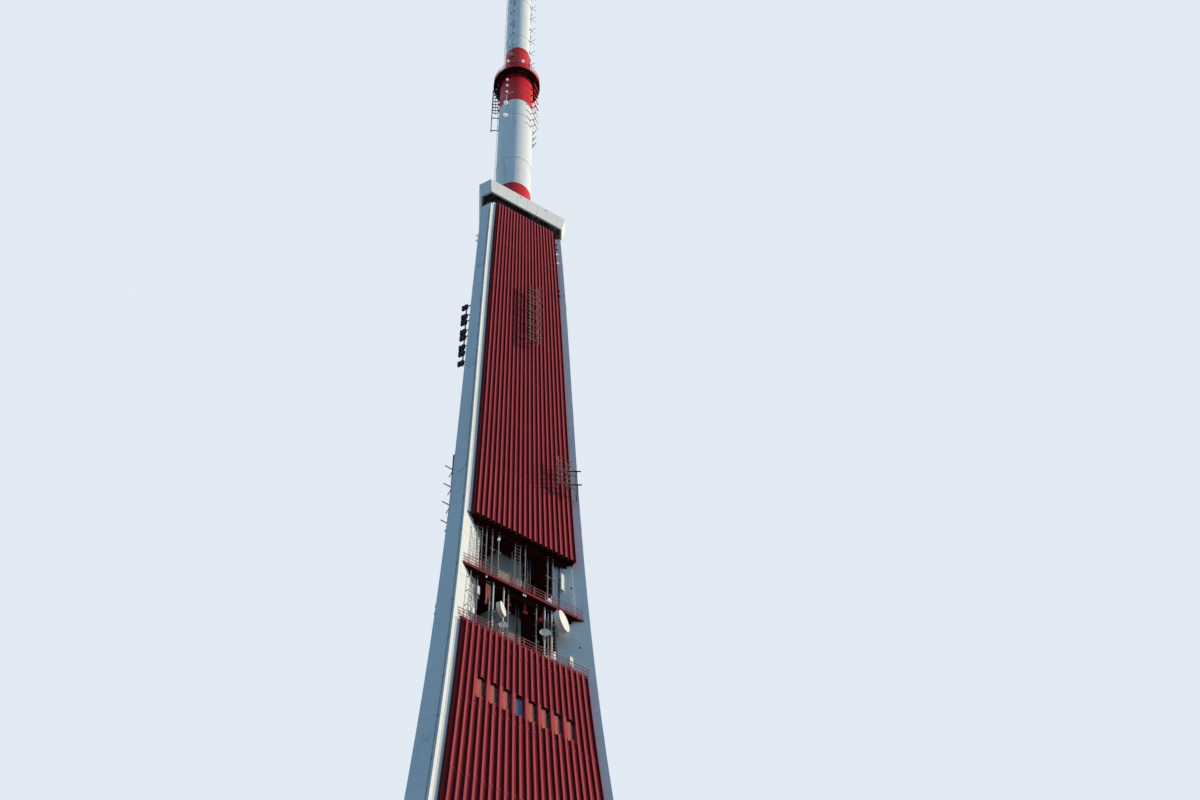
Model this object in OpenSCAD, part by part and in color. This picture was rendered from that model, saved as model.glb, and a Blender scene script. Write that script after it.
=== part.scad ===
// Broadcasting tower on three splayed legs, drawn at one tenth of its real size.
// All lengths are millimetres of the model, so 100 is one metre of the real tower.
// The origin is at the centre of the base, on the underside of the foundation.

/* [Heights] */
// Height where the three legs meet the body
knee_z = 8800; // [8400:50:9200]
// From the knee up to the floor of the viewing deck
waist_h = 850; // [600:10:1000]
// From the floor of the viewing deck to its roof
deck_h = 550; // [480:10:620]
// Open space over the viewing deck
deck_gap_h = 400; // [300:10:500]
// Height of the lower cladding
lower_clad_h = 3810; // [3500:10:4000]
// Height of the open gallery over the lower cladding
low_gallery_h = 760; // [650:10:850]
// Height of the open gallery under the upper cladding
high_gallery_h = 760; // [650:10:850]
// Height of the upper cladding
upper_clad_h = 5900; // [5600:10:6100]
// How far the pillars' tops stay below the top of the upper cladding
pillar_drop = 60; // [40:5:90]
// From the top of the upper cladding to the band of the cap
recess_h = 160; // [130:5:190]
// Height of the cap's band
band_h = 210; // [180:5:240]

/* [Pillars] */
// Distance from the axis to a pillar's outer face at gauge height 1
pillar_r1 = 832; // [820:1:840]
// The same at gauge height 2
pillar_r2 = 676; // [670:1:682]
// The same at gauge height 3
pillar_r3 = 591; // [586:1:596]
// The same at gauge height 4, near the top
pillar_r4 = 498; // [490:1:505]
// Distance from the axis to a leg's outer face at the ground
foot_r = 3000; // [2700:10:3200]
// Width of a pillar at the top
pillar_w_top = 107; // [104:1:112]
// Width of a pillar at gauge height 1
pillar_w_mid = 181; // [176:1:186]
// Width of a leg at the ground
foot_w = 395; // [380:5:420]
// Radial depth of a pillar at the top
pillar_d_top = 200; // [190:1:215]
// Radial depth of a leg at the ground
foot_d = 420; // [400:5:450]

/* [Cladding] */
// How far inside a pillar's outer corner the cladding meets it, at the top
inset_top = 79; // [75:1:84]
// The same measure carried on to the ground
inset_foot = 110; // [105:1:115]
// How far the cladding's panel stands in front of the line where it meets the pillars
clad_out = 30; // [22:1:36]
// How far the panel goes back behind that line
clad_back = 12; // [9:1:18]
// Gap between that line and the square ends of the panel
clad_end = 10; // [8:1:12]
// Depth of a rib
rib_d = 20; // [14:1:24]
// Share of the rib spacing that a rib fills
rib_fill = 0.47; // [0.35:0.01:0.55]
// Ribs on each upper wall
upper_ribs = 19; // [17:2:21]
// Ribs on each lower wall
lower_ribs = 21; // [21:2:23]
// Windows in each lower wall
window_n = 8; // [2:2:8]
// From the sill of the window row up to the top of the lower cladding
sill_drop = 885; // [860:5:960]
// Height of a window
window_h = 240; // [200:5:260]
// Width of the bars of a window's frame
frame_w = 5; // [4:0.5:8]
// Thickness of the viewing deck's walls
deck_wall_t = 26; // [20:1:32]
// Windows in each wall of the deck
deck_window_n = 9; // [5:1:9]

/* [Cap] */
// Distance from the axis to a long side of the band, at its lower edge
cap_long0 = 310; // [305:1:318]
// The same at its upper edge
cap_long1 = 335; // [325:1:345]
// Distance from the axis to a short side of the band, at its lower edge
cap_short0 = 515; // [510:1:525]
// The same at its upper edge
cap_short1 = 551; // [540:1:560]
// Thickness of the band
cap_t = 16; // [12:1:20]

/* [Mast] */
// Radius of the lower tube
tube1_r = 188; // [180:1:196]
// Height of the lower tube
tube1_h = 3540; // [3400:10:3700]
// Radius of the second tube
tube2_r = 140; // [132:1:148]
// Height of the second tube
tube2_h = 4760; // [4600:10:4900]
// Radius of the third tube
tube3_r = 98; // [92:1:106]
// Height of the third tube
tube3_h = 3300; // [3000:10:3600]
// Radius of the fourth tube
tube4_r = 58; // [52:1:64]
// Height of the fourth tube
tube4_h = 1900; // [1700:10:2100]
// Radius of the tip
tip_r = 24; // [20:1:28]
// Height of the tip
tip_h = 1150; // [1000:10:1300]
// How far the gallery on the lower tube's top reaches beyond the tube
gallery_out = 80; // [70:1:90]
// Levels of forked dipoles on the second tube
arm_n = 12; // [6:1:12]
// Spacing of those levels
arm_pitch = 365; // [340:1:380]
// Length of a fork's prong
prong_l = 66; // [58:1:72]

/* [Service parts] */
// Distance from the axis to a corner of the six-sided shaft
shaft_r = 215; // [205:1:230]
// Thickness of a floor
floor_t = 30; // [24:1:36]
// Height of a railing
rail_h = 110; // [100:5:120]
// Radius of a railing bar
bar_r = 3; // [2.5:0.5:4]
// Radius of a pipe between the gallery floors
pipe_r = 5; // [4:0.5:6]
// Radius of the large drum dish
drum_r = 90; // [80:1:96]
// Radius of the smaller drum dish
small_drum_r = 60; // [52:1:64]
// Radius of the open dish on the right
bowl_r = 43; // [38:1:46]
// Radius of the open dish on the left
small_bowl_r = 35; // [30:1:38]
// Height of the wall aerial in the middle of the upper cladding
wall_aerial_h = 1130; // [1000:10:1200]
// Height of the aerial at the right edge of the upper cladding
edge_aerial_h = 500; // [460:10:540]
// Spacing of the pairs of panels beside the left pillar
pair_step = 288; // [276:2:300]
// Distance between the two panels of a pair
pair_gap = 176; // [170:2:182]
// Height of the group of forked dipoles beside the left pillar, from the lowest to the highest
fork_group_h = 800; // [760:10:840]
// Length of a prong of these forks
fork_l = 78; // [70:1:84]
// How far these two aerials stand in front of the ribs
aerial_out = 74; // [60:1:80]

/* [Hidden] */

deck_z = knee_z + waist_h;
deck_roof_z = deck_z + deck_h;
lower_clad_z0 = deck_roof_z + deck_gap_h;
lower_clad_z1 = lower_clad_z0 + lower_clad_h;
gallery_z = lower_clad_z1 + low_gallery_h;
upper_clad_z0 = gallery_z + high_gallery_h;
upper_clad_z1 = upper_clad_z0 + upper_clad_h;
pillar_top_z = upper_clad_z1 - pillar_drop;
cap_z0 = upper_clad_z1 + recess_h;
cap_z1 = cap_z0 + band_h;
roof_under_z = cap_z1 - floor_t;
tube1_z = cap_z1 + tube1_h;
tube2_z = tube1_z + tube2_h;
tube3_z = tube2_z + tube3_h;
tube4_z = tube3_z + tube4_h;

// Gauge heights of the pillar curve
gauge = [13400, 16200, 19000, 21800];
gauge_r = [pillar_r1, pillar_r2, pillar_r3, pillar_r4];
// Longest straight stretch of a curved edge
curve_step = 500;
// Larger than any plan size, for cutting prisms
reach = 8000;
wall_azimuth = [0, 120, 240];
pillar_azimuth = [-150, -30, 90];
// Gap where one part sits on another
seat = 0.3;

foot_z = 60;
foot_margin = 40;
tie_w = 120;
window_z = lower_clad_z1 - sill_drop;
deck_sill_z = deck_z + 110;
deck_head_z = deck_z + 340;
floor_tip = 20;
ledge_out = 22;
// Thickness and bay width of the bracing in the cap's recess
brace_t = 8;
brace_bays = 8;
pole_r = 6;
pole_back = 20;
lamp_r = 24;

steel_white = [0.88, 0.86, 0.78];
steel_grey = [0.52, 0.57, 0.62];
clad_red = [0.62, 0.14, 0.15];
mast_red = [0.78, 0.10, 0.14];
dark_steel = [0.14, 0.15, 0.19];
concrete = [0.62, 0.60, 0.56];
glass_grey = [0.20, 0.26, 0.32];
cream = [0.93, 0.90, 0.80];

// Cubic through the four gauge radii
function cubic(z) = gauge_r * [for (i = [0:3]) product([for (j = [0:3]) if (j != i)
    (z - gauge[j]) / (gauge[i] - gauge[j])])];
function product(v, i = 0) = i < len(v) ? v[i] * product(v, i + 1) : 1;
// Slope of the cubic at the lowest gauge, which the legs carry on from
knee_slope = (cubic(gauge[0]) - cubic(gauge[0] + 1));
leg_bend = (foot_r - pillar_r1 - knee_slope * gauge[0]) / pow(gauge[0], 2);
// Distance from the axis to a pillar's outer face
function face_r(z) = z >= gauge[0] ? cubic(z)
    : pillar_r1 + knee_slope * (gauge[0] - z) + leg_bend * pow(gauge[0] - z, 2);
// Parabola through three values, at the cap's roof, at gauge 1 and at the ground
function taper(z, top, mid, low) = let (a = cap_z1, b = gauge[0])
    top * (z - b) * z / ((a - b) * a) + mid * (z - a) * z / ((b - a) * b) + low * (z - a) * (z - b) / (a * b);
function pillar_w(z) = taper(z, pillar_w_top, pillar_w_mid, foot_w);
function pillar_d(z) = foot_d + (pillar_d_top - foot_d) * z / cap_z1;
function inset(z) = inset_foot + (inset_top - inset_foot) * z / cap_z1;
// Distance from the axis to the line where a wall meets its pillars, and half of the wall's width there
function wall_r(z) = (face_r(z) - inset(z)) / 2 + pillar_w(z) / 2 * cos(30);
function wall_half(z) = (face_r(z) - inset(z)) * cos(30) - pillar_w(z) / 4;
// Heights at which a curved edge from z0 to z1 bends
function bends(z0, z1) = concat([z0],
    [for (i = [floor(z0 / curve_step) + 1:ceil(z1 / curve_step) - 1]) i * curve_step], [z1]);
function backwards(v) = [for (i = [len(v) - 1:-1:0]) v[i]];

// Solid whose side view, distance from the axis against height, is an outline
module radial_prism(points, width) {
    rotate([90, 0, 0]) linear_extrude(height = width, center = true) polygon(points);
}
// Solid whose front view, offset against height, is an outline
module frontal_prism(points, length) {
    rotate([90, 0, 90]) linear_extrude(height = length) polygon(points);
}
// Box pillar along +X between two heights
module pillar_box(z0, z1) {
    zs = bends(z0, z1);
    back = backwards(zs);
    intersection() {
        radial_prism(concat([for (z = zs) [face_r(z), z]], [for (z = back) [face_r(z) - pillar_d(z), z]]),
            2 * foot_w);
        frontal_prism(concat([for (z = zs) [pillar_w(z) / 2, z]], [for (z = back) [-pillar_w(z) / 2, z]]),
            reach);
    }
}
module on_pillar(k) {
    rotate([0, 0, pillar_azimuth[k]]) children();
}
// Wall k has its outer side along -Y before it is turned
module on_wall(k) {
    rotate([0, 0, wall_azimuth[k]]) children();
}
// Room that the three pillars take up, from the knee to the cap
module pillar_room() {
    for (k = [0:2]) on_pillar(k) pillar_box(knee_z, cap_z0);
}
// Flat hexagon with long sides on the walls and short sides on the pillars
module hexagon(long, short) {
    intersection_for(k = [0:2]) rotate(wall_azimuth[k])
        translate([-reach / 2, -long]) square([reach, long + short]);
}
// Hexagon that flares between two heights
module flared_hexagon(z0, z1, long0, short0, long1, short1) {
    intersection_for(k = [0:2]) rotate([0, 0, wall_azimuth[k] + 90])
        radial_prism([[-long0, z0], [short0, z0], [short1, z1], [-long1, z1]], reach);
}
// Sheet that follows a wall between two heights, from front to back measured outwards
module wall_sheet(z0, z1, front, back) {
    zs = bends(z0, z1);
    rotate([0, 0, -90]) radial_prism(concat([for (z = zs) [wall_r(z) + front, z]],
        [for (z = backwards(zs)) [wall_r(z) + back, z]]), reach);
}
// Front outline of a stripe of the wall, between two shares of its half width less a trim
module wall_stripe(z0, z1, share0, share1, trim = 0) {
    zs = bends(z0, z1);
    polygon(concat([for (z = zs) [(wall_half(z) - trim) * share0, z]],
        [for (z = backwards(zs)) [(wall_half(z) - trim) * share1, z]]));
}
// Front outline, offset against height, cut out of a sheet that follows a wall
module wall_cut(z0, z1, front, back) {
    intersection() {
        wall_sheet(z0, z1, front, back);
        rotate([90, 0, 0]) linear_extrude(height = reach) children();
    }
}
// Straight flat bar between two points of an outline
module bar(p, q, t) {
    translate(p) rotate(atan2(q[1] - p[1], q[0] - p[0])) translate([0, -t / 2]) square([norm(q - p), t]);
}
function rib_pitch(n) = 2 / (n + 0.8);

// Foundation: a block under each leg and the tie beams between them
module foundation() {
    middle_r = foot_r - foot_d / 2;
    color(concrete) {
        for (k = [0:2]) on_pillar(k)
            translate([foot_r - foot_d - foot_margin, -foot_w / 2 - foot_margin, 0])
                cube([foot_d + 2 * foot_margin, foot_w + 2 * foot_margin, foot_z]);
        for (k = [0:2]) on_wall(k) translate([-middle_r * cos(30), -middle_r / 2 - tie_w / 2, 0])
            cube([2 * middle_r * cos(30), tie_w, foot_z]);
    }
}
module leg(k) {
    color(steel_white) on_pillar(k) pillar_box(foot_z, knee_z);
}
module pillar(k) {
    color(steel_white) on_pillar(k) pillar_box(knee_z, pillar_top_z);
}

// Wall of the viewing deck, with its window openings
module deck_wall(k) {
    color(steel_grey) on_wall(k) difference() {
        wall_cut(knee_z, deck_roof_z, 0, -deck_wall_t) wall_stripe(knee_z, deck_roof_z, -1.03, 1.03);
        pillar_room();
        translate([0, reach / 2, 0]) rotate([90, 0, 0]) linear_extrude(height = reach) deck_openings();
    }
}
// Front outline of the deck's window openings
module deck_openings() {
    pitch = 2 * wall_half(deck_head_z) / (deck_window_n + 0.6);
    pane_w = pitch * 0.84;
    for (i = [0:deck_window_n - 1])
        translate([(i - (deck_window_n - 1) / 2) * pitch - pane_w / 2, deck_sill_z])
            square([pane_w, deck_head_z - deck_sill_z]);
}
module deck_windows() {
    color(glass_grey) for (k = [0:2]) on_wall(k)
        wall_cut(deck_sill_z, deck_head_z, -8, -14) deck_openings();
}

// Floor between the pillars, around the shaft
module floor_plate(z, overhang) {
    difference() {
        translate([0, 0, z]) linear_extrude(height = floor_t) difference() {
            hexagon(wall_r(z) + overhang, face_r(z) - floor_tip);
            circle(r = shaft_r, $fn = 6);
        }
        pillar_room();
    }
}

// Ribbed cladding of one wall: a panel that stands proud between the pillars, and its ribs
module cladding(z0, z1, ribs) {
    pitch = rib_pitch(ribs);
    difference() {
        union() {
            wall_cut(z0, z1, clad_out, -clad_back) wall_stripe(z0, z1, -1, 1, clad_end);
            wall_cut(z0, z1, clad_out + rib_d, clad_out - 1) for (i = [0:ribs - 1]) {
                share = (i - (ribs - 1) / 2) * pitch;
                wall_stripe(z0, z1, share - pitch * rib_fill / 2, share + pitch * rib_fill / 2);
            }
        }
        pillar_room();
    }
}
module upper_cladding(k) {
    color(clad_red) on_wall(k) cladding(upper_clad_z0, upper_clad_z1, upper_ribs);
}
// Each window takes the room of a rib and of the bays beside it
window_pitch = rib_pitch(lower_ribs) * wall_half(window_z + window_h / 2);
window_w = window_pitch * (2 - rib_fill) - 4;
// Front outline of the windows in one wall, less a margin all round
module windows(margin) {
    for (i = [0:window_n - 1]) translate([(2 * i - (window_n - 1)) * window_pitch, window_z + window_h / 2])
        square([window_w - 2 * margin, window_h - 2 * margin], center = true);
}
module lower_cladding(k) {
    color(clad_red) on_wall(k) difference() {
        cladding(lower_clad_z0, lower_clad_z1, lower_ribs);
        rotate([90, 0, 0]) linear_extrude(height = reach) windows(0);
    }
}
// The panes stand almost level with the bays, so the ribs beside them throw a shadow across
module window_frames() {
    color(mast_red) for (k = [0:2]) on_wall(k)
        wall_cut(window_z, window_z + window_h, clad_out + 1, clad_out - 10) difference() {
            windows(0);
            windows(frame_w);
        }
}
module window_glass() {
    color(glass_grey) for (k = [0:2]) on_wall(k)
        wall_cut(window_z, window_z + window_h, clad_out - 2, clad_out - 6) windows(frame_w + seat);
}

module central_shaft() {
    color(steel_grey) translate([0, 0, knee_z]) cylinder(r = shaft_r, h = roof_under_z - knee_z, $fn = 6);
}

// Cap: band, roof and the dark lattice in the recess under it
module cap_band() {
    color(cream) difference() {
        flared_hexagon(cap_z0, cap_z1, cap_long0, cap_short0, cap_long1, cap_short1);
        flared_hexagon(cap_z0 - 10, cap_z1 + 10, cap_long0 - cap_t, cap_short0 - cap_t,
            cap_long1 - cap_t, cap_short1 - cap_t);
    }
}
module cap_roof() {
    color(steel_grey) intersection() {
        translate([0, 0, roof_under_z]) linear_extrude(height = floor_t) hexagon(reach / 4, reach / 4);
        flared_hexagon(cap_z0 - 10, cap_z1 + 10, cap_long0 - cap_t, cap_short0 - cap_t,
            cap_long1 - cap_t, cap_short1 - cap_t);
    }
}
// Upright bracing panel, half as wide as given, with crossed bars in its bays
module bracing(half, z0, z1, bays) {
    bay = 2 * half / bays;
    bar([-half, z0 + brace_t / 2], [half, z0 + brace_t / 2], brace_t);
    bar([-half, z1 - brace_t / 2], [half, z1 - brace_t / 2], brace_t);
    intersection() {
        translate([-half, z0]) square([2 * half, z1 - z0]);
        for (i = [0:bays - 1]) {
            x = -half + i * bay;
            bar([x, z0], [x, z1], brace_t);
            bar([x, z0], [x + bay, z1], brace_t);
            bar([x, z1], [x + bay, z0], brace_t);
        }
    }
}
module cap_lattice() {
    color(dark_steel) {
        for (k = [0:2]) on_wall(k) translate([0, -wall_r(upper_clad_z1), 0]) rotate([90, 0, 0])
            linear_extrude(height = brace_t)
                bracing(wall_half(upper_clad_z1) - clad_end, upper_clad_z1, roof_under_z, brace_bays);
        for (k = [0:2]) on_pillar(k) for (x = [face_r(pillar_top_z) - 40, face_r(pillar_top_z) - 150])
            translate([x, 0, 0]) rotate([90, 0, 90]) linear_extrude(height = brace_t)
                bracing(pillar_w(pillar_top_z) / 2 - brace_t, pillar_top_z, roof_under_z, 1);
    }
}

module tube(z0, h, r) {
    translate([0, 0, z0]) cylinder(r = r, h = h, $fn = 96);
}
module mast_tube_low() {
    color(mast_red) tube(cap_z1, tube1_h, tube1_r);
}
module mast_tube_middle() {
    color(steel_white) tube(tube1_z, tube2_h, tube2_r);
}
module mast_tube_high() {
    color(mast_red) {
        tube(tube2_z, tube3_h, tube3_r);
        tube(tube3_z, tube4_h, tube4_r);
    }
}
module mast_tip() {
    color(mast_red) {
        tube(tube4_z, tip_h * 0.7, tip_r);
        translate([0, 0, tube4_z + tip_h * 0.7]) cylinder(r1 = tip_r, r2 = bar_r, h = tip_h * 0.3, $fn = 48);
    }
}
// Floor ring round a tube on the wider one below it
module ring_floor(z, inner_r, outer_r, t) {
    translate([0, 0, z]) linear_extrude(height = t) difference() {
        circle(r = outer_r, $fn = 96);
        circle(r = inner_r + seat, $fn = 96);
    }
}
// Gallery where the lower tube ends: a floor of bars between two rings, and its railing
module mast_gallery() {
    edge_r = tube1_r + gallery_out;
    rail_r = edge_r - 2 * bar_r;
    inner_w = tube1_r + 24;
    floor_bars = 24;
    posts = 12;
    deck_t = floor_t / 2;
    color(mast_red) {
        ring_floor(tube1_z, tube2_r, inner_w, deck_t);
        ring_floor(tube1_z, edge_r - 4 * bar_r, edge_r, deck_t);
        for (i = [0:floor_bars - 1]) rotate([0, 0, i * 360 / floor_bars])
            translate([inner_w - 1, -bar_r, tube1_z + deck_t / 4])
                cube([edge_r - 3 * bar_r - inner_w, 2 * bar_r, deck_t / 2]);
        for (h = [rail_h / 2, rail_h]) translate([0, 0, tube1_z + deck_t + h]) rotate_extrude($fn = 96)
            translate([rail_r, 0]) circle(r = bar_r, $fn = 16);
        for (i = [0:posts - 1]) rotate([0, 0, i * 360 / posts + 10])
            translate([rail_r, 0, tube1_z + deck_t - 1]) cylinder(r = bar_r * 0.8, h = rail_h + 1, $fn = 16);
    }
}
module mast_collars() {
    steps = [[tube2_z, tube3_r, tube2_r], [tube3_z, tube4_r, tube3_r], [tube4_z, tip_r, tube4_r]];
    color(mast_red) for (s = steps) ring_floor(s[0], s[1], s[2] + gallery_out / 2, floor_t / 2);
}
// Forked dipole whose two prongs spread level, seated on a tube along +X
module fork(r) {
    translate([r + seat, -7, -4]) cube([12, 14, 8]);
    for (a = [-30, 30]) translate([r + 6, 0, -3]) rotate([0, 0, a]) translate([0, -3, 0])
        cube([prong_l, 6, 6]);
}
module mast_forked_dipoles() {
    z0 = tube2_z - 60 - (arm_n - 1) * arm_pitch;
    color(cream) for (a = [-29, -149, 91], i = [0:arm_n - 1])
        rotate([0, 0, a]) translate([0, 0, z0 + i * arm_pitch]) fork(tube2_r);
}
// Level ring dipoles on a pole beside the lower tube, which two plain arms also hold
module mast_ring_dipoles() {
    ring_r = 38;
    pole_x = tube1_r + 80;
    ring_x = pole_x - ring_r + bar_r;
    arm_z = [-1220, -880];
    ring_z = [-670, -500, -330, -160];
    color(dark_steel) rotate([0, 0, 151]) translate([0, 0, tube1_z]) {
        translate([pole_x, 0, arm_z[0] - 40]) cylinder(r = bar_r * 1.5, h = -arm_z[0] - 60, $fn = 24);
        for (z = concat(arm_z, ring_z))
            translate([tube1_r + seat, -4, z - 4]) cube([pole_x - tube1_r, 8, 8]);
        for (z = ring_z) translate([ring_x, 0, z]) {
            rotate_extrude($fn = 48) translate([ring_r, 0]) circle(r = bar_r * 1.5, $fn = 16);
            translate([-3, -ring_r, -2]) cube([6, 2 * ring_r, 4]);
        }
    }
}
// Level bars held off the lower tube, square to their arms
module side_dipoles(n, arm, length) {
    for (i = [0:n - 1]) translate([tube1_r + seat, 0, tube1_z - 1240 + i * 170]) {
        translate([0, -4, -4]) cube([arm, 8, 8]);
        translate([arm - 4, -length / 2, -11]) cube([8, length, 22]);
    }
}
module mast_side_dipoles() {
    color(cream) {
        rotate([0, 0, -53]) side_dipoles(7, 58, 118);
        rotate([0, 0, 7]) side_dipoles(3, 74, 81);
    }
}
// Column of lamps up the lower tube, the lowest two larger
module mast_lights() {
    lamp_z = [-1210, -870, -535, -355, -190];
    color(cream) rotate([0, 0, -150]) for (i = [0:4]) translate([tube1_r + seat, 0, tube1_z + lamp_z[i]]) {
        r = i < 2 ? lamp_r : lamp_r * 0.6;
        rotate([0, 90, 0]) cylinder(r = r / 2, h = r, $fn = 24);
        translate([r * 1.5, 0, 0]) sphere(r = r, $fn = 32);
    }
}

// Straight railing along each wall, between the pillars
module railing(z, out) {
    half = wall_half(z);
    y = -wall_r(z) - out;
    color(clad_red) difference() {
        for (k = [0:2]) on_wall(k) {
            for (h = [rail_h / 3, rail_h * 2 / 3, rail_h]) translate([-half - 3 * out, y, z + h])
                rotate([0, 90, 0]) cylinder(r = bar_r, h = 2 * half + 6 * out, $fn = 16);
            for (i = [-5:5]) translate([i * half / 5.2, y, z]) cylinder(r = bar_r, h = rail_h, $fn = 16);
        }
        pillar_room();
    }
}
// Upright pipes between two floors, at shares of the wall's half width
module pipes(z0, z1, shares) {
    for (k = [0:2], s = shares) on_wall(k)
        translate([s * wall_half(z1), -wall_r(z1) + floor_t, z0]) cylinder(r = pipe_r, h = z1 - z0, $fn = 24);
}
// Ladder between two floors, its middle at a share of the wall's half width
module ladder(z0, z1, share) {
    rungs = floor((z1 - z0) / 45);
    for (k = [0:2]) on_wall(k) translate([share * wall_half(z1), -wall_r(z1) + floor_t, z0]) {
        for (x = [-24, 24]) translate([x, 0, 0]) cylinder(r = bar_r, h = z1 - z0, $fn = 16);
        for (i = [1:rungs - 1]) translate([-24, -1.5, i * 45]) cube([48, 3, 3]);
    }
}
module service_pipes() {
    z0 = lower_clad_z1 + floor_t;
    z1 = gallery_z + floor_t;
    color(steel_grey) {
        pipes(z0, gallery_z, [-0.75, -0.535, -0.21, 0.285, 0.49]);
        pipes(z1, upper_clad_z0, [-0.64, -0.53, -0.41, 0.1, 0.53, 0.63]);
        ladder(z0, gallery_z, 0.61);
        ladder(z1, upper_clad_z0, -0.77);
        ladder(z1, upper_clad_z0, -0.045);
    }
}
// Carries its children on a pole between the floors of the lower gallery, facing out at an azimuth
module on_pole(x, z, azimuth, arm) {
    z0 = lower_clad_z1 + floor_t;
    translate([x, -wall_r(gallery_z) + pole_back, 0]) {
        translate([0, 0, z0]) cylinder(r = pole_r, h = gallery_z - z0, $fn = 24);
        translate([0, 0, z]) rotate([0, 0, azimuth]) {
            rotate([0, 90, 0]) cylinder(r = pole_r, h = arm + pole_r / 2, $fn = 24);
            translate([arm, 0, 0]) rotate([0, 90, 0]) children();
        }
    }
}
// Side view of a dish's back, from the hub to the rim, as a parabola
function dish_back(r, depth) = [for (i = [0:6]) [r * i / 6, depth * pow(i / 6, 2)]];
// Closed drum: a bowl, a straight shroud and a low domed cover
module drum_dish(r, bowl, shroud) {
    dome = r * 0.06;
    rotate_extrude($fn = 96) polygon(concat(dish_back(r, bowl), [[r, bowl + shroud],
        [r * 0.96, bowl + shroud + dome / 2], [r * 0.6, bowl + shroud + dome], [0, bowl + shroud + dome]]));
}
// Open bowl with its feed
module bowl_dish(r, bowl) {
    shell = 3;
    rotate_extrude($fn = 64) polygon(concat(dish_back(r, bowl),
        [for (p = backwards(dish_back(r - shell, bowl - shell))) [p[0], p[1] + shell]]));
    cylinder(r = 2, h = r * 0.8, $fn = 16);
    translate([0, 0, r * 0.8]) cylinder(r = r * 0.12, h = r * 0.2, $fn = 24);
}
module dish_large() {
    color(cream) on_pole(276, gallery_z - 196, -58, 40) drum_dish(drum_r, drum_r * 0.25, drum_r * 0.5);
}
module dishes_small() {
    color(cream) on_pole(-244, gallery_z - 385, -52, 38)
        drum_dish(small_drum_r, small_drum_r * 0.25, small_drum_r * 0.55);
    color(steel_grey) {
        on_pole(213, gallery_z - 394, -115, 40) bowl_dish(bowl_r, bowl_r * 0.35);
        on_pole(-152, gallery_z - 554, -115, 42) bowl_dish(small_bowl_r, small_bowl_r * 0.35);
    }
}
// Stand-off arms from the ribs of a wall to an aerial in front of them
module standoffs(z0, z1, x, zs) {
    wall_cut(z0, z1, clad_out + rib_d + aerial_out, clad_out + rib_d)
        for (z = zs) translate([x - 3, z - 3]) square([6, 6]);
}
// Thickness of an aerial's bars, and the length of the level bars across its booms
aerial_t = 6;
cross_w = 36;
// Front outline of the level bars across booms
module crosses(xs, zs) {
    for (x = xs, z = zs) translate([x - cross_w / 2, z - aerial_t / 2]) square([cross_w, aerial_t]);
}
// Outward booms of an aerial between two heights, and the level bars at their ends
module booms(z0, z1, xs, zs, front) {
    reach_out = 45;
    wall_cut(z0, z1, front + reach_out - 1, front - reach_out)
        for (x = xs, z = zs) translate([x - aerial_t / 3, z - aerial_t / 3]) square(aerial_t * 2 / 3);
    wall_cut(z0, z1, front + reach_out, front + reach_out - aerial_t) crosses(xs, zs);
}
// Aerial on the middle ribs: short level bars beside a column of booms
module wall_aerial() {
    front = clad_out + rib_d + aerial_out;
    z0 = upper_clad_z0 + 0.534 * upper_clad_h;
    z1 = z0 + wall_aerial_h;
    rows = 8;
    step = wall_aerial_h / rows;
    right_x = 2.2 * rib_pitch(upper_ribs) * wall_half(z1);
    t = aerial_t;
    boom_z = [for (i = [0:rows - 1]) z0 + (i + 0.5) * step];
    color(cream) on_wall(0) {
        wall_cut(z0, z1, front, front - t) {
            for (x = [0, right_x]) translate([x - t / 2, z0]) square([t, z1 - z0]);
            for (i = [0:2 * rows - 1]) translate([-t * 3, z0 + (i + 0.5) * step / 2]) square([t * 5, t]);
            for (z = boom_z) translate([0, z - t / 2]) square([right_x, t]);
            crosses([right_x], boom_z);
        }
        booms(z0, z1, [right_x], boom_z, front);
        for (x = [0, right_x]) standoffs(z0, z1, x, [for (i = [0:3]) z0 + (2 * i + 1) * step]);
    }
}
// Where the aerial at the right edge stands: its height above the cladding's foot and its three uprights
edge_z0 = upper_clad_z0 + 0.147 * upper_clad_h;
edge_x = 6.2 * rib_pitch(upper_ribs) * wall_half(edge_z0 + edge_aerial_h);
edge_step = 84;
edge_rows = 7;
edge_bracket_z = [for (i = [1.5, 4.5]) edge_z0 + edge_aerial_h * i / edge_rows];
// Aerial at the right edge of the cladding: three uprights, and booms off the first two
module edge_aerial() {
    front = clad_out + rib_d + aerial_out;
    z1 = edge_z0 + edge_aerial_h;
    step = edge_aerial_h / edge_rows;
    t = aerial_t;
    boom_x = [edge_x, edge_x + edge_step];
    boom_z = [for (i = [1:edge_rows - 1]) edge_z0 + i * step];
    color(cream) on_wall(0) {
        wall_cut(edge_z0, z1, front, front - t) {
            for (i = [0:2]) translate([edge_x + i * edge_step - t / 2, edge_z0 + (2 - i) * step / 2])
                square([t, edge_aerial_h - step]);
            for (z = edge_bracket_z) translate([edge_x, z - t / 2]) square([2 * edge_step, t]);
            crosses(boom_x, boom_z);
        }
        booms(edge_z0, z1, boom_x, boom_z, front);
        standoffs(edge_z0, z1, edge_x, edge_bracket_z);
    }
}
// Level bars that hold the aerial at the right edge off the right pillar
module edge_brackets() {
    bracket = 8;
    for (z = edge_bracket_z) {
        front = wall_r(z) + clad_out + rib_d + aerial_out + bracket * cos(30) + seat;
        x = edge_x + edge_step - bracket / 2;
        along = x * cos(30) + front * sin(30);
        side = x * sin(30) - front * cos(30);
        translate([along, side, z - bracket / 2]) cube([face_r(z) + 20 - along, bracket, bracket]);
        translate([face_r(z) - 24, side, z - bracket / 2]) cube([bracket, -pillar_w(z) / 2 - side, bracket]);
    }
}
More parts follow.
